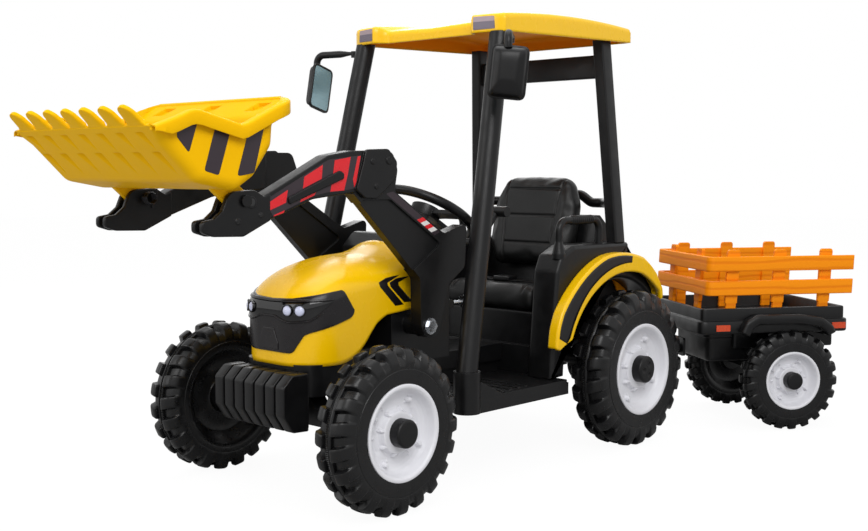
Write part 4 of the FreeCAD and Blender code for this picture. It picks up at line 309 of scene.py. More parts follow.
def roundedOutline(corners, steps=6):
    # straight edges with a curve at each corner (a, b, radius); curves are shortened to fit their sides
    p = np.array([c[:2] for c in corners], float)
    radius = np.array([c[2] if len(c) > 2 else 0.0 for c in corners])
    before, after = np.roll(p, 1, axis=0) - p, np.roll(p, -1, axis=0) - p
    lengthB, lengthA = np.linalg.norm(before, axis=1), np.linalg.norm(after, axis=1)
    before, after = before / lengthB[:, None], after / lengthA[:, None]
    half = np.arccos(np.clip((before * after).sum(axis=1), -1, 1)) / 2
    back = np.minimum(radius / np.tan(half), 0.48 * np.minimum(lengthB, lengthA))
    k = np.linspace(0, 1, steps)[None, :, None]
    first, last = p + before * back[:, None], p + after * back[:, None]
    curve = (1 - k) ** 2 * first[:, None] + 2 * k * (1 - k) * p[:, None] + k ** 2 * last[:, None]
    return np.concatenate([curve[i] if back[i] > 0 else p[i:i + 1] for i in range(len(p))])


def boxOutline(low, high, radius, steps=6):
    # a rounded rectangle between two opposite corners
    (a, b), (c, d) = low, high
    return roundedOutline(((a, b, radius), (c, b, radius), (c, d, radius), (a, d, radius)), steps)


def roundShape(middle, size, count=28):
    return [(middle[0] + size * math.cos(t), middle[1] + size * math.sin(t)) for t in fullTurn(count)]


def insetOutline(outline, amount):
    # moves each point along the mean normal of its two edges, towards the inside
    after, before = np.roll(outline, -1, axis=0), np.roll(outline, 1, axis=0)
    ahead = unit(after - outline)
    tangent = unit(ahead + unit(outline - before))
    normal = np.stack([-tangent[:, 1], tangent[:, 0]], axis=1)
    turning = np.sign(np.sum(outline[:, 0] * after[:, 1] - after[:, 0] * outline[:, 1]))
    stretch = np.clip(1 / np.maximum((tangent * ahead).sum(axis=1), 0.35), 1, 2.5)
    return outline + normal * (amount * turning * stretch)[:, None]


def acrossX(outline, level):
    return np.stack([np.full(len(outline), level), outline[:, 0], outline[:, 1]], axis=1)


def acrossY(outline, level):
    return np.stack([outline[:, 0], np.full(len(outline), level), outline[:, 1]], axis=1)


def acrossZ(outline, level):
    return np.stack([outline[:, 0], outline[:, 1], np.full(len(outline), level)], axis=1)


def flatEnds(points, count):
    # the first and the last ring, each as one flat face
    return [list(range(count)), list(range(len(points) - count, len(points)))]


def stacked(rings):
    # equal outlines joined in order and closed by a flat face at both ends
    points, count = np.concatenate(rings), len(rings[0])
    return points, gridFaces(len(rings), count, closeCols=True), flatEnds(points, count)


def bevelPlate(outline, low, high, bevel, lift):
    # an outline carried from low to high with rounded rims: rings step in by a quarter circle at both ends
    turns = np.linspace(0, math.pi / 2, 4)
    levels = np.concatenate([low + bevel * (1 - np.cos(turns)), high - bevel * (1 - np.cos(turns[::-1]))])
    insets = np.concatenate([bevel * (1 - np.sin(turns)), bevel * (1 - np.sin(turns[::-1]))])
    points, faces, ends = stacked([lift(insetOutline(outline, step), level) for step, level in zip(insets, levels)])
    return points, facingOut(points, faces), ends


def addPlates(name, plates, *how):
    # several bevelled plates in one piece, each (outline, low, high, bevel, lift)
    addSolids(name, [bevelPlate(*plate) for plate in plates], *how)


def bothSides(shapes, low, high, bevel, steps=6):
    # upright plates on the left, and the same plates mirrored to the right
    outlines = [roundedOutline(shape, steps) for shape in shapes]
    return [(outline, a, b, bevel, acrossX) for outline in outlines for a, b in ((low, high), (-high, -low))]


def carried(path, section):
    # a closed section (out, up) carried along a path; out stays level and square to the path
    ahead = unit(np.gradient(path, axis=0) * np.array([1, 1, 0]))
    out = np.stack([ahead[:, 1], -ahead[:, 0], 0 * ahead[:, 0]], axis=1)
    up = np.array([0, 0, 1.0])
    points = (path[:, None] + section[None, :, :1] * out[:, None] + section[None, :, 1:] * up).reshape(-1, 3)
    return points, gridFaces(len(path), len(section), False, True), flatEnds(points, len(section))


def tubeAlong(path, radius, sides):
    # rings square to the path: each ring turns on two directions carried along the path without twist
    radius = np.broadcast_to(radius, len(path))
    ahead = unit(np.gradient(path, axis=0))
    first = np.zeros_like(path)
    guide = np.eye(3)[np.argmin(np.abs(ahead[0]))]
    for i in range(len(path)):
        guide = unit(guide - ahead[i] * np.dot(guide, ahead[i]))
        first[i] = guide
    second = np.cross(ahead, first)
    turn = fullTurn(sides)
    ring = np.cos(turn)[None, :, None] * first[:, None] + np.sin(turn)[None, :, None] * second[:, None]
    points = (path[:, None] + radius[:, None, None] * ring).reshape(-1, 3)
    return points, gridFaces(len(path), sides, False, True), flatEnds(points, sides)


# camera, light and floor

cameraSet = {"place": (1909.4, -2432.1, 674.2), "yaw": 43.3455, "down": 4.618, "focusPx": 1189.95, "widthPx": 868,
             "sensorMm": 36.0, "farM": 60.0}
cameraData = bpy.data.cameras.new("photoCamera")
cameraData.sensor_fit = "HORIZONTAL"
cameraData.sensor_width = cameraSet["sensorMm"]
cameraData.lens = cameraSet["focusPx"] / cameraSet["widthPx"] * cameraSet["sensorMm"]
cameraData.clip_end = cameraSet["farM"]
camera = bpy.data.objects.new("photoCamera", cameraData)
camera.location = onTractor([cameraSet["place"]])[0]
camera.rotation_euler = (math.radians(90 - cameraSet["down"]), 0, math.radians(cameraSet["yaw"]))
scene.collection.objects.link(camera)
scene.camera = camera


def addLamp(name, place, aim, width, power):
    # a rectangular lamp turned to look at its aim
    lamp = bpy.data.lights.new(name, "AREA")
    lamp.shape = "RECTANGLE"
    lamp.size, lamp.size_y = width
    lamp.energy = power
    item = bpy.data.objects.new(name, lamp)
    item.location = place
    x, y, z = np.subtract(aim, place).tolist()
    item.rotation_euler = (math.atan2(math.hypot(x, y), -z), 0, math.atan2(y, x) - math.pi / 2)
    scene.collection.objects.link(item)


# place, aim and size in metres, then power in watts
lampSet = {"key": ((2.7, -2.3, 3.0), (0, -0.1, 0.4), (2.4, 2.0), 92),
           "front": ((-1.4, -3.6, 2.0), (0, -0.4, 0.5), (2.0, 2.0), 26),
           "top": ((-0.3, 0.2, 3.6), (0, 0, 0.4), (3.0, 3.0), 46),
           "back": ((-2.6, 2.4, 2.4), (0, 0, 0.6), (2.0, 2.0), 30)}
for lampName, lampRow in lampSet.items():
    addLamp(lampName, *lampRow)

world = bpy.data.worlds.new("studio")
world.use_nodes = True
scene.world = world
worldTree = world.node_tree
worldTree.nodes.clear()
rays = addNode(worldTree, "ShaderNodeLightPath")
seen = addNode(worldTree, "ShaderNodeMath", {"operation": "MAXIMUM"},
               {0: rays.outputs["Is Camera Ray"], 1: rays.outputs["Is Transmission Ray"]})
seen = addNode(worldTree, "ShaderNodeMath", {"operation": "MAXIMUM"},
               {0: seen.outputs[0], 1: rays.outputs["Is Glossy Ray"]})
dim = addNode(worldTree, "ShaderNodeBackground", {"Color": (1, 1, 1, 1), "Strength": 0.6})
bright = addNode(worldTree, "ShaderNodeBackground", {"Color": (1, 1, 1, 1), "Strength": 1.0})
choose = addNode(worldTree, "ShaderNodeMixShader", None,
                 {0: seen.outputs[0], 1: dim.outputs[0], 2: bright.outputs[0]})
addNode(worldTree, "ShaderNodeOutputWorld", None, {"Surface": choose.outputs[0]})


def addFloor():
    # a flat pale sheet; camera rays see it near white, and it keeps the soft shadow
    look = {"colour": "#b0b0b0", "halfM": 14, "glow": 1.12, "share": 0.85}
    material, tree, shader = newMaterial("paleFloor", {"Base Color": hexLinear(look["colour"]), "Roughness": 0.9,
                                                       "Specular IOR Level": 0.1})
    path = addNode(tree, "ShaderNodeLightPath")
    lit = addNode(tree, "ShaderNodeEmission", {"Color": (1, 1, 1, 1), "Strength": look["glow"]})
    share = addNode(tree, "ShaderNodeMath", {"operation": "MULTIPLY", 1: look["share"]},
                    {0: path.outputs["Is Camera Ray"]})
    mixed = addNode(tree, "ShaderNodeMixShader", None,
                    {0: share.outputs[0], 1: shader.outputs[0], 2: lit.outputs[0]})
    tree.links.new(mixed.outputs[0], tree.nodes["Material Output"].inputs["Surface"])
    mesh = bpy.data.meshes.new("floor")
    half = look["halfM"]
    mesh.from_pydata([(-half, -half, 0), (half, -half, 0), (half, half, 0), (-half, half, 0)], [], [(0, 1, 2, 3)])
    mesh.materials.append(material)
    floor = bpy.data.objects.new("floor", mesh)
    scene.collection.objects.link(floor)

addFloor()
print("camera, light and floor placed")

# wheels

tyreSet = {
    "lugs": 21, "perLug": 24, "slant": 13.0, "recess": 32.0, "bore": 8.1, "knurl": 0.011,
    # height of a lug by columns from its middle
    "lugSteps": (0, 4, 5, 6, 7, 8, 12), "lugHeights": (1, 1, 0.985, 0.92, 0.40, 0, 0),
    # shares of width and radius: carcass, then the lug's top at the same place
    "inner": ((-0.36, 0.21), (-0.30, 0.22), (-0.15, 0.225), (-0.12, 0.245), (-0.12, 0.48), (-0.14, 0.505),
              (-0.40, 0.612), (-0.45, 0.64), (-0.485, 0.67), (-0.495, 0.70), (-0.495, 0.745), (-0.483, 0.75)),
    "half": ((0.487, 0.755, 0.487, 0.757), (0.487, 0.775, 0.490, 0.785), (0.474, 0.822, 0.488, 0.830),
             (0.444, 0.862, 0.470, 0.888), (0.40, 0.888, 0.425, 0.945), (0.35, 0.902, 0.375, 0.975),
             (0.29, 0.912, 0.31, 0.992), (0.20, 0.919, 0.20, 0.999), (0.15, 0.922, 0.15, 1.0),
             (0.128, 0.923, 0.122, 0.994), (0.112, 0.923, 0.106, 0.962), (0.104, 0.923, 0.100, 0.926)),
    "ring": ((0.094, 0.917), (0.090, 0.955), (0.062, 0.966), (0.024, 0.968), (0.012, 0.962), (0.006, 0.930)),
    "band": ((-0.004, 0.930), (-0.008, 0.964), (-0.044, 0.966), (-0.049, 0.946), (-0.054, 0.966), (-0.090, 0.962),
             (-0.096, 0.916)),
    "outerFace": ((0.483, 0.75), (0.495, 0.745), (0.495, 0.70)),
    # kind, centre and side of each wheel, and whose millimetres they are
    "wheels": {
        "front_left": ("front", (273.2, -827, 166.5), 1, onTractor),
        "front_right": ("front", (-273.2, -827, 166.5), -1, onTractor),
        "rear_left": ("rear", (269, 0, 190), 1, onTractor),
        "rear_right": ("rear", (-269, 0, 190), -1, onTractor),
        "trailer_left": ("trailer", (173, 580, 130), 1, onTrailer),
        "trailer_right": ("trailer", (-173, 580, 130), -1, onTrailer)},
    # tyre radius, tyre width and rim radius
    "sizes": {"front": (166.5, 86.6, 96.5), "rear": (190.0, 92.0, 111.3), "trailer": (130.0, 60.0, 75.5)},
}


def spun(x, r, turn):
    # rows of axial and radial places turned about the X axis, by angle from the front over the top
    x, r, turn = np.broadcast_arrays(x, r, turn)
    return np.stack([x, -r * np.cos(turn), r * np.sin(turn)], axis=-1)


def tyrePoints(kind):
    # carcass ring plus a lug mask: each column keeps its place on the lug, and rows lean with distance from the seam
    radius, width, rim = tyreSet["sizes"][kind]
    half = np.array(tyreSet["half"])
    bore, rimShare = tyreSet["bore"] / radius, rim / radius
    seat = 0.5 - tyreSet["recess"] / width

    def plain(places):
        # rows without a lug have their top where the carcass is
        return np.tile(np.array(places), 2)

    closing = ((0.492, rimShare + 0.03), (0.485, rimShare + 0.004), (0.47, rimShare), (seat, rimShare), (seat, bore))
    rows = np.concatenate([plain([(tyreSet["inner"][0][0], bore)]), plain(tyreSet["inner"]),
                           half * np.array([-1, 1, -1, 1]), plain(tyreSet["band"][::-1]), plain(tyreSet["ring"][::-1]),
                           half[::-1], plain(tyreSet["outerFace"]), plain(closing)])
    place, level = rows[:, :1], rows[:, 1:2]
    columns = tyreSet["lugs"] * tyreSet["perLug"]
    count = np.arange(columns)
    away = np.abs(count % tyreSet["perLug"] - tyreSet["perLug"] // 2)
    lug = np.interp(away, tyreSet["lugSteps"], tyreSet["lugHeights"])
    mask = np.where(place < 0, np.roll(lug, tyreSet["perLug"] // 2), lug)
    x = (place + mask * (rows[:, 2:3] - place)) * width
    r = (level + mask * (rows[:, 3:4] - level)) * radius
    # two rows of fine teeth on the band beside the seam
    toothed = (place < 0) & (place > -0.1) & (level > 0.935)
    second = place < -0.05
    r = r - toothed * tyreSet["knurl"] * radius * ((count + second) % 2)
    lean = math.tan(math.radians(tyreSet["slant"])) * np.abs(place) * width / radius
    points = spun(x, r, count * (2 * math.pi / columns) + lean)
    return points.reshape(-1, 3), gridFaces(len(rows), columns, True, True)


rimSet = {
    "gap": 0.4, "rows": 110, "columns": 240,
    # share of the rim's radius, and height over the seat
    "profile": ((0.085, 19), (0.30, 19), (0.40, 18.6), (0.43, 17.5), (0.45, 11), (0.48, 6.5), (0.52, 5), (0.66, 5.5),
                (0.74, 7.5), (0.80, 11.5), (0.845, 18), (0.875, 25.5), (0.895, 30), (0.91, 31.6), (0.93, 33.2),
                (0.955, 33.7), (0.985, 33.5), (1.0, 32.6)),
    # round bosses: count, place and size as shares of the radius, height, first angle
    "bosses": ((8, 0.475, 0.045, 9.0, 0.2), (4, 0.70, 0.065, 11.0, 0.5), (6, 0.62, 0.03, 3.5, 0.95)), "bossSlope": 0.4,
    "crescentPlace": 0.62, "crescentWidth": 0.045, "crescentDepth": 3.0,
}


def fromSpots(grid, angle, count, place, size, phase=0.0):
    # distance from the nearest of several round spots on a circle, as a share of their size
    pitch = 2 * math.pi / count
    off = (angle - phase + pitch / 2) % pitch - pitch / 2
    return np.sqrt((off * grid) ** 2 + (grid - place) ** 2) / size


def rimPoints(kind):
    # a dish turned from a radial profile, raised by round bosses near the hub and pips round the dish
    _, width, rim = tyreSet["sizes"][kind]
    rim = rim - rimSet["gap"]
    back = width / 2 - tyreSet["recess"]
    profile = np.array(rimSet["profile"])
    r = np.interp(np.linspace(0, 1, rimSet["rows"]), np.linspace(0, 1, len(profile)), profile[:, 0])
    turn = fullTurn(rimSet["columns"])
    grid, angle = np.meshgrid(r * rim, turn, indexing="ij")
    height = np.interp(r, profile[:, 0], profile[:, 1])[:, None]
    for count, place, size, tall, phase in rimSet["bosses"]:
        away = fromSpots(grid, angle, count, place * rim, size * rim, phase)
        height = height + tall * np.clip((1 - away) / rimSet["bossSlope"], 0, 1) ** 0.7
    crescent = np.exp(-((grid / rim - rimSet["crescentPlace"]) / rimSet["crescentWidth"]) ** 2)
    height = height - rimSet["crescentDepth"] * crescent * np.clip(4 * np.cos(2 * angle + 0.6) - 2.4, 0, 1)
    rear = spun(back, np.array([[rim], [tyreSet["bore"]]]), turn)
    points = np.concatenate([spun(back + height, grid, angle), rear])
    return points.reshape(-1, 3), gridFaces(len(points), len(turn), True, True)


capSet = {"seat": 19.2, "size": 0.295, "columns": 96, "dipPlace": 0.45, "dipSize": 0.22, "dipDepth": 3.0,
          "dipSlope": 0.5}


def capPoints(kind, dips):
    # a domed cap turned from a rounded profile, with shallow round dips on its face where it has them
    _, width, rim = tyreSet["sizes"][kind]
    back = width / 2 - tyreSet["recess"] + capSet["seat"]
    size = capSet["size"] * rim
    bend = np.linspace(0.2, math.pi / 2, 8)
    r = np.concatenate([[1.0, 1.0, 1.0], 1 - 0.16 * (1 - np.cos(bend)), np.linspace(0.83, 0.002, 26)]) * size
    h = np.concatenate([[0, 9, 18.5], 19 + 5.0 * np.sin(bend), 24.0 + 0.8 * (1 - np.linspace(0.83, 0, 26) ** 2)])
    turn = fullTurn(capSet["columns"])
    grid, angle = np.meshgrid(r, turn, indexing="ij")
    height = h[:, None]
    if dips:
        away = fromSpots(grid, angle, dips, capSet["dipPlace"] * size, capSet["dipSize"] * size)
        height = height - capSet["dipDepth"] * np.clip((1 - away) / capSet["dipSlope"], 0, 1)
    return spun(back + height, grid, angle).reshape(-1, 3), gridFaces(len(r), len(turn), False, True)


def addWheels():
    for name, (kind, centre, side, space) in tyreSet["wheels"].items():
        for piece, (points, faces), material, slot in (
                ("tyre", tyrePoints(kind), "tyrePolyethylene", "tyre_plastic"),
                ("rim", rimPoints(kind), "rimPolypropylene", "rim_plastic"),
                ("hub_cap", capPoints(kind, 3 if kind == "rear" else 0), "blackPolypropylene", "black_plastic")):
            placed = points * np.array([side, 1, 1]) + np.array(centre)
            node = "%s_%s" % (name, piece)
            addPiece("look_" + node, placed, facingOut(placed, faces), material, name + "_wheel", slot,
                     (node,) if node in nodes else (), space, smooth=38)


addWheels()
print("wheels made")

# hood and nose

hoodSet = {
    "half": 116.0, "front": -900.0, "rear": -598.0, "nose": 84.0, "wall": 3.6, "ridgeTurn": -668.0, "ridgeShare": 0.1,
    "ridgeY": (-900, -700, -670, -650, -630, -615, -598), "ridgeZ": (470, 489, 494, 498, 503, 508, 517),
    "bottomY": (-900, -812, -795, -775, -758, -740, -722, -707, -690, -676, -598),
    "bottomZ": (276, 276, 278, 285, 295, 312, 334, 351, 361, 367, 373),
    "shoulderY": (-900, -800, -700, -598), "shoulderZ": (388, 414, 428, 438),
    "boxyY": (-900, -800, -598), "boxy": (1.75, 2.0, 1.95), "inside": (0, -700, 300),
}
# the plan outline: half of its flat front, and where its straight side starts, by distance and by y
hoodFlat = hoodSet["half"] - hoodSet["nose"]
hoodSide = hoodFlat + hoodSet["nose"] * math.pi / 2
hoodSideY = hoodSet["front"] + hoodSet["nose"]


def hoodPlan(s):
    # distance along the plan outline from the front middle: flat front, round corner, straight side
    side, a = np.sign(s), np.abs(s)
    bend = np.clip((a - hoodFlat) / hoodSet["nose"], 0, math.pi / 2)
    x = np.minimum(a, hoodFlat) + hoodSet["nose"] * np.sin(bend)
    y = hoodSet["front"] + hoodSet["nose"] * (1 - np.cos(bend)) + np.maximum(a - hoodSide, 0)
    return side * x, y, side * np.sin(bend), -np.cos(bend)


def hoodLines(y):
    # shoulder height, place and height of the ridge, and the boxiness of the curve between them
    turn = hoodSet["ridgeTurn"]
    ridgeY = np.where(y < turn, turn + hoodSet["ridgeShare"] * (y - turn), y)
    return (np.interp(y, hoodSet["shoulderY"], hoodSet["shoulderZ"]), ridgeY,
            np.interp(ridgeY, hoodSet["ridgeY"], hoodSet["ridgeZ"]), np.interp(y, hoodSet["boxyY"], hoodSet["boxy"]))


def hoodAt(s, z, grow=0.0):
    # upright wall up to the shoulder, then a superellipse that leans over to the ridge line
    x, y, nx, ny = hoodPlan(s)
    shoulder, ridgeY, ridge, power = hoodLines(y)
    rise = np.clip((z - shoulder) / (ridge - shoulder), 0, 1)
    reach = (1 - rise ** power) ** (1 / power)
    return np.stack([x * reach + nx * grow, ridgeY + (y - ridgeY) * reach + ny * grow, z + 0 * x], axis=-1)


def addHood():
    corner, end = 164, hoodSide + hoodSet["rear"] - hoodSideY
    s = np.concatenate([np.linspace(0, hoodFlat, 8)[:-1], np.linspace(hoodFlat, corner, 34)[:-1],
                        np.linspace(corner, end, 40)])
    y = hoodPlan(s)[1]
    bottom = np.interp(y, hoodSet["bottomY"], hoodSet["bottomZ"])
    shoulder, _, ridge, power = hoodLines(y)
    wall = np.linspace(0, 1, 14)[:-1, None]
    lift = np.linspace(0, math.pi / 2, 30)[:, None]
    z = np.concatenate([bottom + (shoulder - bottom) * wall,
                        shoulder + (ridge - shoulder) * np.sin(lift) ** (2 / power)])
    points, faces = bothHalves(hoodAt(np.broadcast_to(s, z.shape), z), hoodSet["inside"])
    mend(addPiece("look_hood", points, faces, "yellowAbs", "tractor", "yellow_plastic", ("hood",),
                  wall=hoodSet["wall"]), weldGap)


# the low and high edges give heights by distance from the middle
noseSet = {
    "look_grille_mask": {
        "reach": 207, "count": 190, "rows": 16, "grow": 3.1, "back": 0.2, "replaced": ("grille_mask",),
        "lowZ": ((0, 60, 68, 90, 102, 194, 201, 205, 207), (303, 303, 307, 340, 345, 369, 373, 378, 385)),
        "highZ": ((0, 60, 150, 172, 178, 184, 207), (411.5, 414, 427, 429, 426.5, 420, 386))},
    # a shallow V across the nose
    "look_lamp_band": {
        "reach": 150, "count": 120, "rows": 10, "grow": 3.7, "material": "lampBandBlack",
        "lowZ": ((0, 22, 44, 58, 100, 114, 150), (379, 379, 371, 368, 371, 379, 407)),
        "highZ": ((0, 60, 150), (405, 406.5, 409))},
    "look_lamp_brow": {
        "reach": 150, "count": 120, "rows": 3, "grow": 6.2,
        "lowZ": ((0, 60, 150), (406, 407.5, 410)), "highZ": ((0, 60, 150), (411, 413, 413))},
    "look_lamp_sill": {
        "reach": 130, "count": 120, "rows": 3, "grow": 6.2,
        "lowZ": ((0, 22, 44, 58, 100, 114, 130), (375, 375, 367, 364, 367, 375, 386)),
        "highZ": ((0, 22, 44, 58, 100, 114, 130), (378.5, 378.5, 370.5, 367.5, 370.5, 378, 387))},
    "look_nose_plaque": {
        "reach": 30, "count": 40, "rows": 8, "grow": 4.6,
        "lowZ": ((0, 30), (308, 308)), "highZ": ((0, 16, 30), (352, 352, 322))},
}


def noseStrip(name, reach, count, rows, grow, lowZ, highZ, back=2.6, material="charcoalAbs", replaced=(), bevel=1.2):
    # a closed strip laid on the hood: the rows climb from its low edge to its high edge, rounded at both
    s = np.linspace(-reach, reach, count)
    low, high = np.interp(np.abs(s), *lowZ), np.interp(np.abs(s), *highZ)
    tall = np.maximum(high - low, 0.02)
    edge = np.minimum(bevel, tall / 2 - 0.005)
    turn = np.linspace(0, math.pi / 2, 5)
    rim = grow - bevel * (1 - np.sin(turn))
    share = np.concatenate([np.zeros(5), np.linspace(0, 1, rows + 2)[1:-1], np.ones(5)])[:, None]
    inset = np.concatenate([1 - np.cos(turn), np.zeros(rows), np.cos(turn[::-1]) - 1])[:, None]
    behind = np.linspace(1, 0, 10)[1:-1, None]
    z = np.concatenate([low[None, :], low + share * tall + inset * edge, high[None, :], low + behind * tall])
    growth = np.concatenate([[back], rim, np.full(rows, grow), rim[::-1], np.full(1 + len(behind), back)])
    points = hoodAt(np.broadcast_to(s, z.shape), z, growth[:, None]).reshape(-1, 3)
    ends = [[i * count + side for i in range(len(z))] for side in (0, count - 1)]
    addSolids(name, [(points, gridFaces(len(z), count, True), ends)], material, "tractor", "gloss_black_plastic",
              replaced)


headlightSet = {"spots": (56.0, 82.0), "z": 390.0, "radius": 10.5, "bezel": 12.6, "rise": 6.0, "grow": 4.0,
                "tilt": 0.08}


def roundLights(r, h, size, closed):
    # the rings (radius, height) at each spot on both sides, square to the nose there
    turn = fullTurn(32)
    solids = []
    for spot in headlightSet["spots"]:
        for s in (np.array([spot]), np.array([-spot])):
            nx, ny = hoodPlan(s)[2:]
            centre = hoodAt(s, np.array([headlightSet["z"]]), headlightSet["grow"])[0]
            ahead = unit(np.array([nx[0], ny[0], headlightSet["tilt"]]))
            first = unit(np.cross(ahead, (0, 0, 1)))
            second = np.cross(first, ahead)
            ring = np.cos(turn)[:, None] * first + np.sin(turn)[:, None] * second
            points = centre + size * r[:, None, None] * ring + headlightSet["rise"] * h[:, None, None] * ahead
            points = points.reshape(-1, 3)
            tip = flatEnds(points, len(turn))[1:] if closed else []
            solids.append((points, gridFaces(len(r), len(turn), False, True), tip))
    return solids


def addHeadlights():
    # a clear dome in a round black bezel at each spot
    quarter = np.linspace(0, math.pi / 2, 9)[:-1]
    domes = roundLights(np.append(1.0, np.cos(quarter)), np.append(-2.0, np.sin(quarter)), headlightSet["radius"], True)
    addSolids("look_headlights", domes, "lampAcrylic", "tractor", "lens", ("headlights",), smooth=50)
    bezels = roundLights(np.array([0.86, 0.9, 0.97, 1.0, 1.0]), np.array([0.5, 0.7, 0.66, 0.5, -0.4]),
                         headlightSet["bezel"], False)
    addSolids("look_headlight_bezels", bezels, "lampBandBlack", "tractor", "gloss_black_plastic", smooth=50)


chevronSet = {
    "front": ((-663, 445), (-700, 441), (-720, 434), (-717, 426), (-678, 388), (-656, 389), (-697, 427), (-698, 432)),
    "rear": ((-640, 441), (-675, 439), (-693, 432), (-690, 424), (-655, 393), (-633, 393), (-669, 425), (-670, 431)),
    # the shapes are drawn about one place, enlarged and set down at another
    "drawn": (-676, 415), "placed": (-650, 415), "scale": 1.16, "upper": (0, 1, 2, 3, 4), "lower": (0, 7, 7, 6, 5),
    "grow": 0.35, "wall": 0.3, "inside": (0, -680, 400),
}


def addChevrons():
    # two plain black chevron stickers on each side of the hood: rows climb from the upper edge to the lower edge
    c = chevronSet
    t, across = np.linspace(0, 4, 24), np.linspace(0, 1, 8)[:, None, None]
    parts = []
    for shape in (c["front"], c["rear"]):
        edge = (np.array(shape, float) - np.array(c["drawn"])) * c["scale"] + np.array(c["placed"])
        a, b = (np.stack([np.interp(t, range(5), edge[list(c[key]), k]) for k in (0, 1)], axis=1)
                for key in ("upper", "lower"))
        flat = a + (b - a) * across
        s = hoodSide + flat[..., 0] - hoodSideY
        parts.append(bothHalves(hoodAt(s, flat[..., 1], c["grow"]), c["inside"]))
    addPiece("look_hood_chevrons", *joinGrids(parts), "blackVinyl", "tractor", "black_plastic", wall=c["wall"])


addHood()
for stripName, strip in noseSet.items():
    noseStrip(stripName, **strip)
addHeadlights()
addChevrons()
print("hood and nose made")

# bucket

bucketSet = {
    "half": 225.0, "wall": 4.6, "round": 20.0, "steps": 190, "inside": (0, -1160, 740),
    "profile": ((-1327, 746, 0), (-1231, 652, 32), (-1145, 636.5, 30), (-1106, 661, 25), (-1064.5, 716.6, 28),
                (-1060, 767.4, 14), (-1021, 805, 0)),
    "wave": ((-1323, 744), (-1278, 760), (-1252, 771), (-1243, 773), (-1232, 772), (-1158, 753), (-1145, 750),
             (-1133, 753), (-1052, 792), (-1026, 803)),
    "corner": 40.0, "cornerStart": -1064.0,
    "teeth": 7, "pitch": 61.3, "pocketRows": ((14, 58), (62, 118)), "pocketDepth": 7.0, "pocketHalf": 13.0,
    "slotX": (-151, 0, 151), "slotHalf": 20.0, "slotTall": 7.5, "slotLean": 1.5, "slotMiddle": (-1040.5, 786.2),
    "slotFrom": -1062, "slotDepth": 6.0, "slotLap": 1.5, "slotUp": (0.716, 0.698), "slotIn": (0.698, -0.716),
    # the rolled edge: out from the wall and up from its top
    "edgeRound": (8.0, -3.0), "edgeOuter": 6.0, "edgeInner": 3.4, "edgeDrop": -23.0, "edgeGrow": 14.0, "edgeFoot": 6,
    "bracket": ((-1176, 652, 4), (-1112, 656, 4), (-1081, 630, 10), (-1084, 603, 14), (-1106, 601, 14),
                (-1122, 606, 8)),
    "bracketX": (153.4, 165.0),
    "stripes": (((-1273, 744, 2), (-1231, 756, 2), (-1250, 702, 3), (-1273, 728, 2)),
                ((-1195, 747, 2), (-1163, 741, 2), (-1189, 664, 5), (-1219, 672, 5)),
                ((-1123, 744, 2), (-1087, 756, 2), (-1112, 668, 5), (-1150, 662, 5))), "stripeX": (225.1, 225.7),
}


def bucketEdge(wave):
    # half width at each step of the side's top edge: full along the side, rounded in plan at the rear corner
    into = np.clip(wave[:, :1] - bucketSet["cornerStart"], 0, bucketSet["corner"])
    return bucketSet["half"] - bucketSet["corner"] + np.sqrt(bucketSet["corner"] ** 2 - into ** 2)


def addBucket():
    # one sheet: across each step of the side profile it runs down a side, round to the floor and up again
    b = bucketSet
    line, t = sampleLine(roundedOutline(b["profile"], 7), b["steps"])
    wave, _ = sampleLine(np.array(b["wave"], float), b["steps"])
    tangent = unit(np.gradient(line, axis=0))
    inward = np.stack([-tangent[:, 1], tangent[:, 0]], axis=1)
    inward = inward * np.sign(((wave - line) * inward).sum(axis=1).mean())
    bend = np.minimum(b["round"], 0.6 * np.linalg.norm(wave - line, axis=1))[:, None]
    half = bucketEdge(wave)
    flat = half - bend
    x0 = np.linspace(-1, 1, 181) * flat

    def raised(x, height):
        # places across the sheet, lifted from the profile towards the inside
        return np.stack([x, line[:, :1] + height * inward[:, :1], line[:, 1:] + height * inward[:, 1:]], axis=-1)

    # triangular pockets under the teeth: deepest at their top edge, fading downwards
    off = (x0 + b["pitch"] / 2) % b["pitch"] - b["pitch"] / 2
    inside = np.abs(x0) < b["pitch"] * (b["teeth"] / 2)
    sink = np.zeros_like(x0)
    for first, last in b["pocketRows"]:
        u = ((t - first) / (last - first))[:, None]
        side = (off - 9 * u + 6) / (b["pocketHalf"] * np.clip(1 - u, 0.02, 1))
        pocket = b["pocketDepth"] * (1 - u) * np.clip(1.5 - 1.5 * np.abs(side), 0, 1)
        sink = np.maximum(sink, np.where((u > 0) & (u < 1) & inside, pocket, 0))
    # three slanted recesses in the back plate
    level = line[:, 1:] - b["slotMiddle"][1]
    nearest = np.min([np.abs(x0 - x - b["slotLean"] * level) for x in b["slotX"]], axis=0)
    recess = (line[:, :1] > b["slotFrom"]) & (np.abs(level) < b["slotTall"]) & (nearest < b["slotHalf"])
    floor = raised(x0, sink - b["slotDepth"] * recess)
    arc = np.linspace(0, math.pi / 2, 7)[1:]
    curve = raised(flat + bend * np.sin(arc), bend * (1 - np.cos(arc)))
    start = curve[:, -1, 1:]
    up = np.linspace(0, 1, 22)[1:]
    wallYZ = start[:, None, :] + (wave - start)[:, None, :] * up[None, :, None]
    wall = np.concatenate([np.broadcast_to(half[:, :, None], wallYZ.shape[:2] + (1,)), wallYZ], axis=-1)
    end = np.concatenate([curve, wall], axis=1)
    grid = np.concatenate([end[:, ::-1] * mirrored, floor, end], axis=1)
    points = grid.reshape(-1, 3)
    faces = facingOut(points, gridFaces(*grid.shape[:2]), b["inside"])
    addPiece("look_bucket", points, faces, "bucketPolyethylene", "bucket", "yellow_plastic", ("bucket",), smooth=35,
             wall=b["wall"])


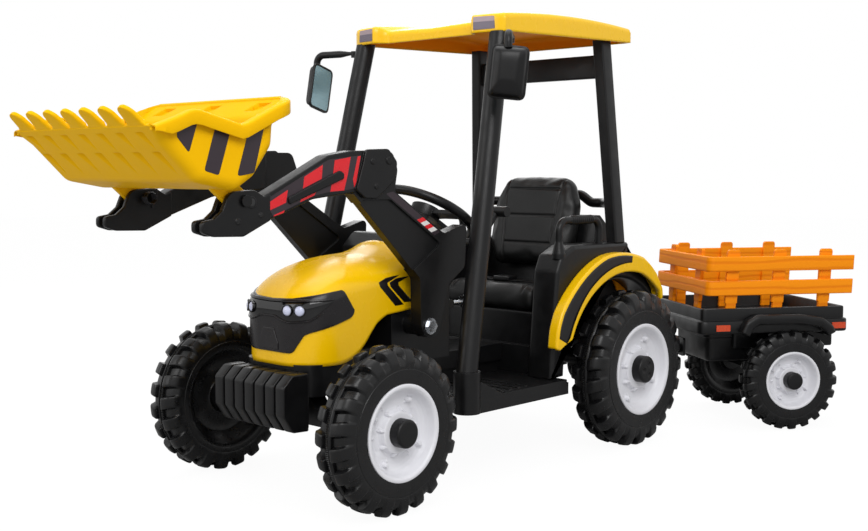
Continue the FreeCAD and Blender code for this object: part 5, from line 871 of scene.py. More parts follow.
def addBucketEdge():
    # a rolled edge runs up one side, round the rear corners and down the other: level from the wall, then turned down
    b = bucketSet
    wave, _ = sampleLine(np.array(b["wave"], float), 130)
    left = np.concatenate([bucketEdge(wave), wave], axis=1)
    across = np.linspace(1, -1, 61)[1:-1, None] * left[-1, 0]
    back = np.concatenate([across, np.broadcast_to(wave[-1], (len(across), 2))], axis=1)
    path = np.concatenate([left, back, left[::-1] * mirrored])
    turn = np.linspace(math.pi / 2, 0, 7)
    arc = np.stack([np.cos(turn), np.sin(turn)], axis=1)
    outer, inner = (np.array(b["edgeRound"]) + b[key] * arc for key in ("edgeOuter", "edgeInner"))
    out, into, low, foot = outer[-1, 0], inner[-1, 0], b["edgeDrop"], b["edgeFoot"]
    section = np.concatenate([[(-4.6, -foot), (-4.6, 2), (-3.6, 3)], outer,
                              [(out, low + 1.5), (out - 0.8, low), (into + 0.8, low), (into, low + 1.5)],
                              inner[::-1], [(0.3, 0.4), (0.3, -foot)]])
    points, faces, ends = carried(path, section)
    # the turned down part is short at both front ends and reaches its full drop a little further back
    steps = np.arange(len(path))
    grown = np.clip(np.minimum(steps, steps[::-1]) / b["edgeGrow"], 0.1, 1)[:, None]
    grid = points.reshape(len(path), len(section), 3)
    grid[..., 2] -= np.minimum(grid[..., 2] - path[:, None, 2] + foot, 0) * (1 - grown)
    addSolids("look_bucket_edge", [(grid.reshape(-1, 3), faces, ends)], "bucketPolyethylene", "bucket",
              "yellow_plastic")


def addSlotShadeFloors():
    # a slanted floor closes each recess of the back plate a little below its rim; its burnt orange is painted shade
    b = bucketSet
    along = np.array(b["slotUp"])

    def onBack(outline, level):
        yz = np.array(b["slotMiddle"]) + outline[:, 1:] * along + level * np.array(b["slotIn"])
        return np.concatenate([outline[:, :1], yz], axis=1)

    wide, top = b["slotHalf"] + b["slotLap"], b["slotTall"] / along[1] + b["slotLap"]
    lean = b["slotLean"] * top * along[1]
    shape = np.array([(-wide - lean, -top), (wide - lean, -top), (wide + lean, top), (lean - wide, top)])
    plates = [(shape + np.array([x, 0]), 4.7, 5.4, 0.1, onBack) for x in b["slotX"]]
    addPlates("look_bucket_slot_shade", plates, "slotPolyethylene", "bucket", "yellow_plastic")


toothSet = {"slope": (-0.714, 0.70), "normal": (0.70, 0.714), "foot": -9, "long": 51.0, "round": 24, "roundLong": 18.0,
            "wideAt": (-9, 0, 7, 24), "wide": (29.5, 28, 22.5, 19.5),
            "thickAt": (-9, -1, 4, 24, 42), "thick": (4.6, 4.6, 11, 10.5, 8), "lift": 0.3}


def addTeeth():
    # each tooth is a tongue that carries on the front plate's slope, from a flared foot to a round end
    s = toothSet
    slope, normal, base = np.array(s["slope"]), np.array(s["normal"]), np.array(bucketSet["profile"][0][:2])
    t = np.linspace(0, 1, 30)
    along = s["foot"] + s["long"] * np.sin(t * math.pi / 2)
    end = s["wide"][-1] * np.sqrt(np.clip(1 - ((along - s["round"]) / s["roundLong"]) ** 2, 0, 1))
    wide = np.where(along < s["round"], np.interp(along, s["wideAt"], s["wide"]), end)
    thick = np.interp(along, s["thickAt"], s["thick"]) * np.clip(wide / 6, 0.2, 1)
    turn = fullTurn(32)
    ringX, ringN = (np.sign(v) * np.abs(v) ** 0.5 for v in (np.cos(turn), np.sin(turn)))
    n = s["lift"] + (thick / 2)[:, None] * (1 + ringN)
    y, z = (base[k] + along[:, None] * slope[k] + n * normal[k] for k in (0, 1))
    solids = []
    for k in range(bucketSet["teeth"]):
        x = (k - (bucketSet["teeth"] - 1) / 2) * bucketSet["pitch"] + wide[:, None] * ringX
        points = np.stack([x, y, z], axis=-1).reshape(-1, 3)
        faces = facingOut(points, gridFaces(len(t), len(turn), False, True))
        solids.append((points, faces, flatEnds(points, len(turn))[:1]))
    addSolids("look_bucket_teeth", solids, "bucketPolyethylene", "bucket", "yellow_plastic", smooth=45, gap=weldGap)


addBucket()
addBucketEdge()
addSlotShadeFloors()
addTeeth()
# tapered hanger webs under the floor, one at each arm, and three plain slanted stripes on each side plate
addPlates("look_bucket_brackets", bothSides((bucketSet["bracket"],), *bucketSet["bracketX"], 1.5), "bucketPolyethylene",
          "bucket", "yellow_plastic")
addPlates("look_bucket_stripes", bothSides(bucketSet["stripes"], *bucketSet["stripeX"], 0.1, 4), "charcoalVinyl",
          "bucket", "black_plastic")
print("bucket made")

# front weights

weightSet = {
    "count": 7, "pitch": 33.0, "half": 13.4, "coreHalf": 112.0,
    "rib": ((-893, 150, 4), (-893, 268, 4), (-934, 268, 12), (-958, 246, 12), (-958, 188, 14), (-934, 152, 12)),
    "core": ((-893, 157, 2), (-893, 261, 2), (-932, 261, 10), (-950, 243, 10), (-950, 191, 10), (-931, 159, 10)),
}


def addWeights():
    # rounded plates side by side on a slimmer core, so the grooves run over the top, the front and the underside
    w = weightSet
    rib, core = roundedOutline(w["rib"]), roundedOutline(w["core"])
    middles = (np.arange(w["count"]) - (w["count"] - 1) / 2) * w["pitch"]
    plates = [(rib, m - w["half"], m + w["half"], 3.0, acrossX) for m in middles]
    plates.append((core, -w["coreHalf"], w["coreHalf"], 1.0, acrossX))
    addPlates("look_front_weights", plates, "blackPolypropylene", "tractor", "black_plastic", ("front_weights",))


addWeights()
print("front weights made")

# loader arms

armSet = {
    "x": 159.2, "half": 17.0, "rearHalf": 15.0, "slot": 7.0, "proud": 6.0, "pin": (-1095.0, 617.0),
    "beam": ((-790, 632, 0), (-831, 628, 20), (-933, 617, 60), (-1036, 581.5, 10), (-1062, 572, 3), (-1062, 626, 3),
             (-1052, 625, 3), (-892, 702, 40), (-831, 711, 20), (-790, 712, 4)),
    "ear": ((-1036, 580, 6), (-1099, 552, 14), (-1164, 554, 10), (-1190, 562, 9), (-1190, 582, 9), (-1164, 586, 8),
            (-1146, 600, 8), (-1131, 634, 26), (-1073, 637, 26), (-1050, 624, 8), (-1036, 630, 6)),
    "elbow": ((-824, 634, 6), (-806, 684, 8), (-797, 714, 10), (-735, 716, 14), (-710, 690, 14), (-714, 655, 14),
              (-768, 615, 12), (-800, 617, 8)),
    "bar": ((-997, 621, 5), (-866, 672, 6), (-855, 667, 5), (-855, 656, 5), (-994, 608, 5)),
    "panel": ((-1046, 611, 4), (-1042, 621, 4), (-1003, 640, 2), (-893, 693, 40), (-806, 702, 3), (-824, 637, 3),
              (-858, 632, 2), (-895, 630, 30), (-935, 623, 30), (-1031, 587, 4)),
    "red": (((-1041, 613), (-995, 636), (-998, 622), (-1000, 612), (-1040, 598)),
            ((-1028, 590), (-1003, 598), (-1006, 593), (-1030, 587)),
            ((-958, 638), (-955, 660), (-908, 683), (-911, 656)),
            ((-963, 618), (-925, 631), (-930, 624.5), (-966, 612)),
            ((-877, 692), (-835, 698.5), (-843, 664), (-853, 633), (-889, 631), (-882, 662)),
            ((-808, 701), (-816, 700), (-829, 655), (-826, 639), (-821, 647))),
    "strip": ((-737, 625, 2), (-715, 629, 2), (-575, 541, 2), (-592, 534, 2)),
    "hatchRed": (((-628, 574), (-617, 567), (-635, 562), (-646, 569)),
                 ((-606, 560), (-595, 553), (-613, 548), (-624, 555))),
    "hatchWhite": (((-617, 567), (-606, 560), (-624, 555), (-635, 562)),
                   ((-595, 553), (-584, 546), (-602, 541), (-613, 548))),
    "bolts": ((-735, 692, 7.5), (-780, 690, 5.5), (-770, 640, 5.5)),
    "eyes": ((-1081, 614, 11.0), (-1112, 580, 6.0), (-1060, 590, 5.0)), "eyeShare": 0.68,
}


def addArms():
    a = armSet
    x, slot, face, rearFace = a["x"], a["slot"], a["x"] + a["half"], a["x"] + a["rearHalf"]
    back = x - a["half"]
    plates = bothSides((a["beam"],), back, face, 2.6)
    plates += bothSides((a["ear"],), x + slot, face + 0.7, 2.2) + bothSides((a["ear"],), back - 0.7, x - slot, 2.2)
    plates += bothSides((a["elbow"],), face - 2, face + a["proud"], 2.0)
    plates += bothSides((a["bar"],), face - 2, face + 4.5, 2.0)
    plates += bothSides([roundShape(b, b[2]) for b in a["bolts"]], face + 4, face + 8.2, 1.2)
    plates += bothSides([roundShape(b, b[2]) for b in a["eyes"]], face - 1, face + 1.8, 0.8)
    addPlates("look_loader_arm_fronts", plates, "blackPolypropylene", "loader", "black_plastic", ("loader_arm_fronts",))
    eyes = bothSides([roundShape(b, b[2] * a["eyeShare"]) for b in a["eyes"]], face + 1.0, face + 2.0, 0.3)
    addPlates("look_arm_eyes", eyes, "lampBandBlack", "loader", "black_plastic")
    # plain stickers: dark grounds first, then the colours a little in front of them
    for name, shapes, level, material, slotName in (
            ("look_arm_panels", (a["panel"],), face, "charcoalVinyl", "black_plastic"),
            ("look_arm_red_blocks", a["red"], face, "redVinyl", "red_plastic"),
            ("look_arm_strips", (a["strip"],), rearFace, "charcoalVinyl", "black_plastic"),
            ("look_arm_hatch_red", a["hatchRed"], rearFace, "redVinyl", "red_plastic"),
            ("look_arm_hatch_white", a["hatchWhite"], rearFace, "whiteVinyl", "rim_plastic")):
        low, high, steps = (-0.2, 0.3, 6) if material == "charcoalVinyl" else (0, 0.6, 2)
        sticker = bothSides(shapes, level + low, level + high, 0.1, steps)
        addPlates(name, sticker, material, "loader", slotName)


springSet = {"wire": 1.2, "radius": 11.5, "pitch": 3.4, "turns": 5, "start": 140.7, "leg": 20.0}


def addSprings():
    # a helix round each bucket pin, wound inwards from its arm, with a short straight leg at both ends
    turn = np.linspace(0, 2 * math.pi * springSet["turns"], 48 * springSet["turns"] + 1)
    x = springSet["start"] - springSet["wire"] - springSet["pitch"] * turn / (2 * math.pi)
    y = armSet["pin"][0] + springSet["radius"] * np.cos(turn)
    z = armSet["pin"][1] + springSet["radius"] * np.sin(turn)
    coil = np.stack([x, y, z], axis=1)
    leg = np.linspace(1, 0, 6)[:-1, None] * springSet["leg"] * np.array([0.0, 0.0, 1.0])
    path = np.concatenate([coil[0] - leg, coil, coil[-1] + leg[::-1]])
    tubes = [tubeAlong(line, springSet["wire"], 10) for line in (path, path * mirrored)]
    addSolids("look_bucket_springs", tubes, "springSteel", "loader", "steel", ("bucket_springs",), smooth=50)


addArms()
addSprings()
print("loader arms and springs made")

# seat

seatSet = {
    "voxel": 0.005, "pressure": 4.0, "frames": 20, "cap": 0.007, "ease": 14,
    "cushion": ((-150, -229, 34), (150, -229, 34), (152, -70, 26), (-152, -70, 26)),
    "cushionLow": 336.0, "cushionHigh": 393.0, "cushionRest": 335.4, "rollX": 112.0,
    "back": ((-112, 4, 30), (112, 4, 30), (134, 60, 70), (136, 120, 80), (132, 172, 70), (102, 237, 46), (0, 240, 200),
             (-102, 237, 46), (-132, 172, 70), (-136, 120, 80), (-134, 60, 70)),
    "backBase": (-81.0, 430.0), "recline": 12.4, "backLow": 6.0, "backHigh": 52.0,
    "seams": (60.0, 131.0, 200.0), "seamHalf": 80.0, "seamLean": 0.07, "seamDepth": 4.2, "seamWidth": 2.6,
}


def leaned(points):
    # from the seat back's own plane (across, up, behind) to the tractor
    a = math.radians(seatSet["recline"])
    y = points[:, 2] * math.cos(a) + points[:, 1] * math.sin(a)
    z = points[:, 1] * math.cos(a) - points[:, 2] * math.sin(a)
    return np.stack([points[:, 0], y + seatSet["backBase"][0], z + seatSet["backBase"][1]], axis=1)


def meshPoints(mesh):
    flat = np.empty(len(mesh.vertices) * 3)
    mesh.vertices.foreach_get("co", flat)
    return flat.reshape(-1, 3)


def bakedMesh(piece, name):
    shot = bpy.data.meshes.new_from_object(piece.evaluated_get(bpy.context.evaluated_depsgraph_get()))
    shot.name = name
    return shot


def swollen(name, points, faces, ends):
    # the pad's plain form is remeshed and blown up as cloth; no point moves further than the cap
    mesh = bpy.data.meshes.new(name + "_form")
    mesh.from_pydata((points / 1000).tolist(), [], np.asarray(faces).tolist() + ends)
    form = bpy.data.objects.new(name + "_form", mesh)
    scene.collection.objects.link(form)
    mend(form)
    grid = form.modifiers.new("grid", "REMESH")
    grid.mode = "VOXEL"
    grid.voxel_size = seatSet["voxel"]
    even = bakedMesh(form, name + "_even")
    form.modifiers.clear()
    form.data = even
    start = meshPoints(even)
    cloth = form.modifiers.new("cloth", "CLOTH")
    cloth.settings.use_pressure = True
    cloth.settings.uniform_pressure_force = seatSet["pressure"]
    cloth.settings.effector_weights.gravity = 0.0
    cloth.settings.quality = 5
    for step in range(1, seatSet["frames"] + 1):
        scene.frame_set(step)
    shot = bakedMesh(form, name + "_swollen")
    moved = meshPoints(shot) - start
    far = np.linalg.norm(moved, axis=1, keepdims=True)
    start = start + moved * np.minimum(1, seatSet["cap"] / np.maximum(far, 1e-9))
    form.modifiers.clear()
    scene.frame_set(1)
    even.vertices.foreach_set("co", start.ravel())
    even.update()
    ease = form.modifiers.new("ease", "SMOOTH")
    ease.factor = 0.5
    ease.iterations = seatSet["ease"]
    fine = form.modifiers.new("fine", "SUBSURF")
    fine.levels = 1
    fine.render_levels = 1
    smooth = bakedMesh(form, name)
    bpy.data.objects.remove(form)
    return smooth


def finishPad(node, mesh, points):
    # points are millimetres on the tractor
    mesh.vertices.foreach_set("co", onTractor(points).ravel())
    mesh.update()
    mesh.polygons.foreach_set("use_smooth", np.ones(len(mesh.polygons), dtype=bool))
    mesh.materials.clear()
    mesh.materials.append(finish["seatLeatherette"])
    piece = bpy.data.objects.new("look_" + node, mesh)
    scene.collection.objects.link(piece)
    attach(piece, "tractor")
    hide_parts(node)


def addSeatBack():
    outline = roundedOutline(seatSet["back"], 8)
    mesh = swollen("look_seat_back", *bevelPlate(outline, seatSet["backLow"], seatSet["backHigh"], 16.0, acrossZ))
    p = meshPoints(mesh) * 1000
    # three sewn channels across the middle panel and one slanted channel at each side, on the front only
    front = np.clip((26.0 - p[:, 2]) / 8.0, 0, 1)
    side = seatSet["seamHalf"] + seatSet["seamLean"] * (p[:, 1] - 120.0)
    past = np.abs(p[:, 0]) - side
    level = np.min([np.abs(p[:, 1] - seam) for seam in seatSet["seams"]], axis=0)
    across = np.exp(-(level / seatSet["seamWidth"]) ** 2) * np.clip((2.0 - past) / 3.0, 0, 1)
    along = np.exp(-(past / seatSet["seamWidth"]) ** 2) * np.clip((p[:, 1] - 18.0) / 12.0, 0, 1)
    puff = 3.0 * np.clip(past / 22.0, 0, 1)
    p[:, 2] += front * (seatSet["seamDepth"] * np.maximum(across, along) - puff)
    finishPad("seat_back", mesh, leaned(p))


def addCushion():
    outline = roundedOutline(seatSet["cushion"], 8)
    mesh = swollen("look_seat_cushion",
                   *bevelPlate(outline, seatSet["cushionLow"], seatSet["cushionHigh"], 19.0, acrossZ))
    p = meshPoints(mesh) * 1000
    # flat where it rests on the seat box, a hollow in the middle and one channel inside each side roll
    top = np.clip((p[:, 2] - 372.0) / 14.0, 0, 1)
    roll = np.exp(-((np.abs(p[:, 0]) - seatSet["rollX"]) / 3.0) ** 2)
    middle = np.exp(-(p[:, 0] / 80.0) ** 2 - ((p[:, 1] + 150.0) / 70.0) ** 2)
    p[:, 2] = np.maximum(p[:, 2] - top * (4.5 * roll + 4.0 * middle), seatSet["cushionRest"])
    finishPad("seat_cushion", mesh, p)
    return p


beltSet = {"y": -150.0, "half": 15.0, "thick": 1.8, "reach": 165.0, "buckle": (26.0, 19.0, 12.0), "bin": 6.0,
           "least": 340.0, "sideX": (0, 150, 158, 166), "sideZ": (380, 380, 372, 366)}


def addBelt(cushion):
    # a strap that follows the cushion's top from side to side, with a rounded buckle in the middle
    b = beltSet
    x, y = np.linspace(-b["reach"], b["reach"], 90), np.linspace(-b["half"], b["half"], 9)
    spots = cushion[np.abs(cushion[:, 1] - b["y"]) < b["half"] + 4]
    order = np.round(spots[:, 0] / b["bin"]).astype(int)
    level = np.full(order.max() - order.min() + 1, b["least"])
    np.maximum.at(level, order - order.min(), spots[:, 2])
    high = np.interp(x, (np.arange(len(level)) + order.min()) * b["bin"], level)
    high = np.convolve(np.pad(high, 4, mode="edge"), np.ones(9) / 9, mode="valid")
    high = np.maximum(high, np.interp(np.abs(x), b["sideX"], b["sideZ"])) + 0.9
    ripple = 0.5 * np.sin(x[:, None] / 17.0 + y / 9.0)
    top = np.stack(np.broadcast_arrays(x[:, None], b["y"] + y, high[:, None] + ripple + b["thick"]), axis=-1)
    points = top.reshape(-1, 3)
    faces = facingOut(points, gridFaces(*top.shape[:2]), (0, b["y"], 0))
    addPiece("look_seat_belt", points, faces, "strapWebbing", "tractor", "webbing", ("seat_belt",), wall=b["thick"])
    wide, deep, tall = b["buckle"]
    rest = high[40:50].max()
    case = boxOutline((-wide, b["y"] - deep), (wide, b["y"] + deep), 6)
    button = boxOutline((8, b["y"] - 12), (22, b["y"] + 12), 3)
    addPlates("look_belt_buckle", [(case, rest, rest + tall, 3.0, acrossZ),
                                   (button, rest + tall - 1, rest + tall + 0.8, 0.6, acrossZ)],
              "blackPolypropylene", "tractor", "black_plastic")


addSeatBack()
addBelt(addCushion())
print("seat and belt made")

# rear body, fenders and handles

bodySet = {
    "x": (166.0, 238.0), "arch": (0.0, 190.0, 216.0), "archTurn": (43.5, 180.0), "tailGap": (1, 6),
    "panel": ((-268, 188, 3), (-246, 438, 36), (-228, 475, 12), (-180, 496, 20), (44, 495, 9), (46, 464, 4),
              (105, 420, 20), (152, 374, 8)),
    "box": ((-225, 255, 2), (-225, 335, 6), (-41.5, 335, 3), (8, 560, 4), (20, 560, 4), (98, 495, 10), (110, 335, 8),
            (110, 255, 2)),
    "kick": ((-240, 160, 1), (-240, 256, 1), (-213, 256, 1), (-213, 160, 1)),
    "tail": ((40, 482, 4), (100, 437, 6), (134, 411, 6), (157, 374, 6), (158, 357, 4), (96, 357, 4), (60, 420, 4)),
}


def addRearBody():
    # each side panel is cut by the wheel arch: its outline ends in an arc about the wheel
    y0, z0, r = bodySet["arch"]
    turn = np.radians(np.linspace(*bodySet["archTurn"], 40))
    corners = bodySet["panel"] + tuple((y0 + r * math.cos(t), z0 + r * math.sin(t), 0) for t in turn)
    low, high = bodySet["x"]
    plates = bothSides((corners,), low, high, 9.0, 7)
    plates += [(roundedOutline(bodySet["box"]), -low - 1, low + 1, 1.0, acrossX),
               (roundedOutline(bodySet["kick"]), -low - 1, low + 1, 0.5, acrossX)]
    addPlates("look_rear_body", plates, "blackPolypropylene", "tractor", "black_plastic", ("rear_body",))
    # inside each fender's tail a wall closes the gap down to the wheel; its darker orange is painted shade
    near, far = bodySet["tailGap"]
    walls = bothSides((bodySet["tail"],), low + near, low + far, 0.8, 4)
    addPlates("look_fender_tails", walls, "liningAbs", "tractor", "yellow_plastic")


fenderSet = {
    "centre": (-20.0, 165.0), "from": 159.0, "to": 46.0, "x": 264.3, "wall": 3.0, "lip": 5, "roll": 7.0,
    "turn": (46, 49, 58, 66, 72, 82, 102, 113, 127, 143, 150, 159),
    "outer": (262, 275, 292, 301, 307, 307, 309, 305, 301, 299, 292, 278),
    "innerTurn": (46, 50, 70, 90, 110, 135, 150, 159), "inner": (252, 262, 266, 258, 248, 236, 228, 262),
    "tailTurn": (46, 66, 76, 80), "tail": (172, 172, 205, 238), "inside": (200, -20, 200),
    "bandTurn": (82, 100, 120, 135, 150, 154), "bandLow": (284, 274, 262, 251, 241, 246), "bandEdge": 7.0,
    "bandGrow": 0.35, "bandWall": 0.3, "bandInside": (0, 0, 300),
}


def fenderPoint(turn, x, r):
    a = np.radians(turn)
    y, z = fenderSet["centre"]
    return np.stack([np.broadcast_to(x, r.shape), y + r * np.cos(a), z + r * np.sin(a)], axis=-1)


def addFenders():
    # a curved sheet: from the lip over the wheel it runs up the side, rolls over and reaches in, furthest at the tail
    f = fenderSet
    side, lip = f["x"], f["lip"]
    turn = np.linspace(f["from"], f["to"], 110)[:, None]
    outer = np.interp(turn, f["turn"], f["outer"])
    inner = np.minimum(np.interp(turn, f["innerTurn"], f["inner"]), outer - 12)
    tail = np.interp(turn, f["tailTurn"], f["tail"])
    roll = np.minimum(f["roll"], (outer - inner) * 0.3)
    bend = np.linspace(0, math.pi / 2, 7)
    up, over = np.linspace(0.1, 0.9, 9), np.linspace(0, 1, 8)[1:]
    flat = 0 * turn
    x = np.concatenate([flat + side - 16, flat + side - 6, flat + side - lip + lip * np.sin(bend[1:]),
                        flat + side + 0 * up,
                        side - roll * (1 - np.cos(bend)), side - roll + (tail - side + roll) * over], axis=1)
    r = np.concatenate([inner + 1.5, inner, inner + lip - lip * np.cos(bend[1:]),
                        inner + lip + (outer - roll - inner - lip) * up,
                        outer - roll * (1 - np.sin(bend)), outer + 0 * over], axis=1)
    points, faces = bothHalves(fenderPoint(turn, x, r), f["inside"])
    addPiece("look_fenders", points, faces, "yellowAbs", "tractor", "yellow_plastic", ("fenders",), smooth=45,
             wall=f["wall"])
    # a plain dark band along each side
    turn = np.linspace(f["bandTurn"][-1], f["bandTurn"][0], 80)[:, None]
    low = np.interp(turn, f["bandTurn"], f["bandLow"])
    high = np.interp(turn, f["turn"], f["outer"]) - f["bandEdge"]
    band = fenderPoint(turn, side + f["bandGrow"], low + (high - low) * np.linspace(0, 1, 6))
    addPiece("look_fender_bands", *bothHalves(band, f["bandInside"]), "blackVinyl", "tractor", "black_plastic",
             wall=f["bandWall"])


handleSet = {"x": 222.0, "front": -221.0, "rear": -62.0, "foot": 466.0, "top": 555.0, "bend": 26.0, "radius": 9.0,
             "ribs": 11, "ribFrom": -178.0, "ribRun": 84.0, "rib": 2.2, "collarTop": 506.0, "collarTall": 28.0,
             "collar": 7.0, "collarEnd": -150}


def addHandles():
    # an upright hoop with ribbed grip rings along its top and a flared collar at its front foot
    h = handleSet
    turn = np.linspace(0, math.pi / 2, 9)
    into, level = h["bend"] * (1 - np.cos(turn)), h["top"] - h["bend"] + h["bend"] * np.sin(turn)
    front, rear = np.stack([h["front"] + into, level], axis=1), np.stack([h["rear"] - into, level], axis=1)
    hoop = np.concatenate([[(h["front"], h["foot"])], front, rear[::-1], [(h["rear"], h["foot"])]])
    line, _ = sampleLine(hoop, 170)
    along = np.clip((line[:, 0] - h["ribFrom"]) / h["ribRun"], 0, 1)
    live = (line[:, 1] > h["top"] - 1) & (along > 0) & (along < 1)
    collar = np.clip((h["collarTop"] - line[:, 1]) / h["collarTall"], 0, 1) * (line[:, 0] < h["collarEnd"])
    radius = h["radius"] + live * h["rib"] * np.sin(along * math.pi * h["ribs"]) ** 2 + h["collar"] * collar
    tubes = [tubeAlong(acrossX(line, x), radius, 20) for x in (h["x"], -h["x"])]
    addSolids("look_grab_handles", tubes, "blackPolypropylene", "tractor", "black_plastic", ("grab_handles",),
              smooth=50)


addRearBody()
addFenders()
addHandles()
print("rear body, fenders and handles made")

# roof

roofSet = {
    "half": 236.0, "front": -454.0, "rear": 48.0, "low": 972.0, "high": 1027.0, "round": 9.0, "wall": 4.0, "rise": 11.0,
    "notch": 28.0, "notchX": (134.0, 156.0), "dip": 13.0, "dipMore": 5, "dipX": 150, "dipRun": 150.0, "slant": 0.18,
    "corner": 6.0, "cornerX": 22, "fall": 2.0, "inside": (0, -200, 0),
    "topY": (-454, -400, -347, -221, -87, -20, 48), "topZ": (1012, 1017.5, 1021.5, 1026.5, 1026.5, 1023, 1018.5),
    # gap, lift and wall of the thin inner sheet that carries the painted shade
    "shadeSheetGap": 5.2, "shadeSheetLift": 1.5, "shadeSheetWall": 0.8,
    "lamp": ((160, 978, 2), (214, 979, 2), (212, 1006, 2), (160, 1007, 2)), "lampY": (-455.4, -451.0),
}


def addRoof(name, material, wall, inset, lift, replaced=()):
    # a shell over the plan: its front edge steps back between the lamp pods and its top sinks there, most in the
    # middle; the inset draws the same form smaller all round, and the lift raises its foot
    r = roofSet
    u = np.concatenate([np.linspace(-1, -0.93, 9)[:-1], np.linspace(-0.93, 0.93, 111), np.linspace(0.93, 1, 9)[1:]])
    v = np.concatenate([np.linspace(0, 0.05, 12)[:-1], np.linspace(0.05, 0.95, 70), np.linspace(0.95, 1, 9)[1:]])
    half = r["half"] - inset
    x = u * half
    away = np.abs(x)
    step = eased(np.clip((r["notchX"][1] - away) / (r["notchX"][1] - r["notchX"][0]), 0, 1))
    corner = r["corner"] * np.clip((away - half + r["cornerX"]) / r["cornerX"], 0, 1) ** 2
    frontY = r["front"] + inset + r["notch"] * step + corner + r["slant"] * np.maximum(away - r["notchX"][1], 0)
    rearY = r["rear"] - inset - corner
    y = frontY + (rearY - frontY) * v[:, None]
    gap = np.clip(np.minimum(np.minimum(half - away, y - frontY), rearY - y), 0, r["round"])
    drop = r["round"] - np.sqrt(np.maximum(r["round"] ** 2 - (r["round"] - gap) ** 2, 0))
    deep = r["dip"] + r["dipMore"] * (1 - away / r["dipX"]).clip(0, 1)
    sink = step * np.clip(1 - (y - frontY) / r["dipRun"], 0, 1) * deep
    # the crown along the roof is a cubic through its measured heights, and it falls a little to both sides
    crown = np.polyval(np.polyfit(r["topY"], r["topZ"], 3), y) - r["fall"] * (x / half) ** 2
    z = np.minimum(crown, r["high"]) - drop - sink - inset
    points = np.stack([np.broadcast_to(x, y.shape), y, z], axis=-1).reshape(-1, 3)
    # a skirt hangs from the edge all round, down to a foot that climbs to the rear
    index = np.arange(y.size).reshape(y.shape)
    edge = points[np.concatenate([index[0, :-1], index[:-1, -1], index[-1, :0:-1], index[:0:-1, 0]])]
    foot = r["low"] + lift + r["rise"] * (edge[:, 1] - r["front"]) / (r["rear"] - r["front"])
    skirt = np.repeat(edge[None], 8, axis=0)
    skirt[..., 2] = edge[:, 2] + (foot - edge[:, 2]) * np.linspace(0, 1, 8)[:, None]
    skirt = skirt.reshape(-1, 3)
    points, faces = joinGrids([(points, facingOut(points, gridFaces(*y.shape), r["inside"])),
                               (skirt, facingOut(skirt, gridFaces(8, len(edge), False, True)))])
    mend(addPiece(name, points, faces, material, "tractor", "yellow_plastic", replaced, smooth=42, wall=wall), weldGap)


def lampLens():
    # smoked roof lamp: a pale upper half, and a darker lower half crossed by a fine mesh
    look = {"upper": "#a08d94", "mesh": ("#4a4350", "#76697a"), "meshScale": 420.0, "splitM": 0.9955}
    material, tree, shader = newMaterial("roofLampLens", {"Roughness": 0.16, "IOR": 1.49})
    place = addNode(tree, "ShaderNodeTexCoord").outputs["Object"]
    axes = addNode(tree, "ShaderNodeSeparateXYZ", None, {0: place})
    upper = addNode(tree, "ShaderNodeMath", {"operation": "GREATER_THAN", 1: look["splitM"]}, {0: axes.outputs["Z"]})
    mesh = addNode(tree, "ShaderNodeTexChecker", {"Scale": look["meshScale"], "Color1": hexLinear(look["mesh"][0]),
                                                  "Color2": hexLinear(look["mesh"][1])}, {"Vector": place})
    colour = addNode(tree, "ShaderNodeMix", {"data_type": "RGBA", 7: hexLinear(look["upper"])},
                     {0: upper.outputs[0], 6: mesh.outputs["Color"]})
    tree.links.new(colour.outputs[2], shader.inputs["Base Color"])
    bump = addNode(tree, "ShaderNodeBump", {"Strength": 0.2, "Distance": 0.0005}, {"Height": mesh.outputs["Fac"]})
    tree.links.new(bump.outputs["Normal"], shader.inputs["Normal"])
    return material


def addRoofLamps():
    # one flat lens on each pod, slanted with the pod's face
    def onPod(outline, level):
        back = roofSet["slant"] * (np.abs(outline[:, 0]) - roofSet["notchX"][1])
        return acrossY(outline, level) + np.outer(back, (0, 1, 0))

    shape = roundedOutline(roofSet["lamp"], 4)
    plates = [(shape * np.array([side, 1]), *roofSet["lampY"], 0.6, onPod) for side in (1, -1)]
    addPlates("look_roof_lamps", plates, "roofLampLens", "tractor", "lens", ("roof_lamps",))


finish["roofLampLens"] = lampLens()
addRoof("look_roof", "yellowAbs", roofSet["wall"], 0.0, 0.0, ("roof",))
# a thin sheet of painted shade in the darker orange follows the shell's inside, down its skirt as well
addRoof("look_roof_shade_sheet", "liningAbs", roofSet["shadeSheetWall"], roofSet["shadeSheetGap"], roofSet["shadeSheetLift"])
addRoofLamps()
print("roof made")

# trailer bed

bedSet = {
    # two opposite corners and the corner radius; then the height and inset of each ring, from the underside upwards
    "plan": ((-182, 330), (182, 747), 24),
    "rings": ((253, 20), (253, 3), (255, 0.6), (258, 0), (283, 0), (285.5, 1.5), (286.5, 6), (288, 8), (314, 8),
              (317, 9), (318, 11), (318, 15), (317, 17), (314, 18), (286, 19), (283.5, 20), (283, 23)),
    "tub": ((-104, 386), (104, 520), 22),
    "tubRings": ((170, 16), (170, 8), (174, 3), (182, 1), (232, 0), (234, -4), (254, -5)),
    "arch": ((-118, 452), (118, 738), 10),
    "archRings": ((206, 8), (206, 2), (210, 0), (254, 0)),
    "flare": ((437, 258, 0), (449, 284, 22), (478, 300, 30), (600, 299, 40), (660, 290, 34), (688, 270, 18),
              (695, 255, 0)),
    "flareSection": ((178, 0.0), (198, 0.0), (201, 0.8), (202.8, 3.0), (203.4, 6.0), (203.4, 14.0), (202.8, 17.0),
                     (201, 18.8), (194, 19.5), (120, 19.5)),
    "flareWall": 3.0, "flareInside": (120, 575, 200),
}


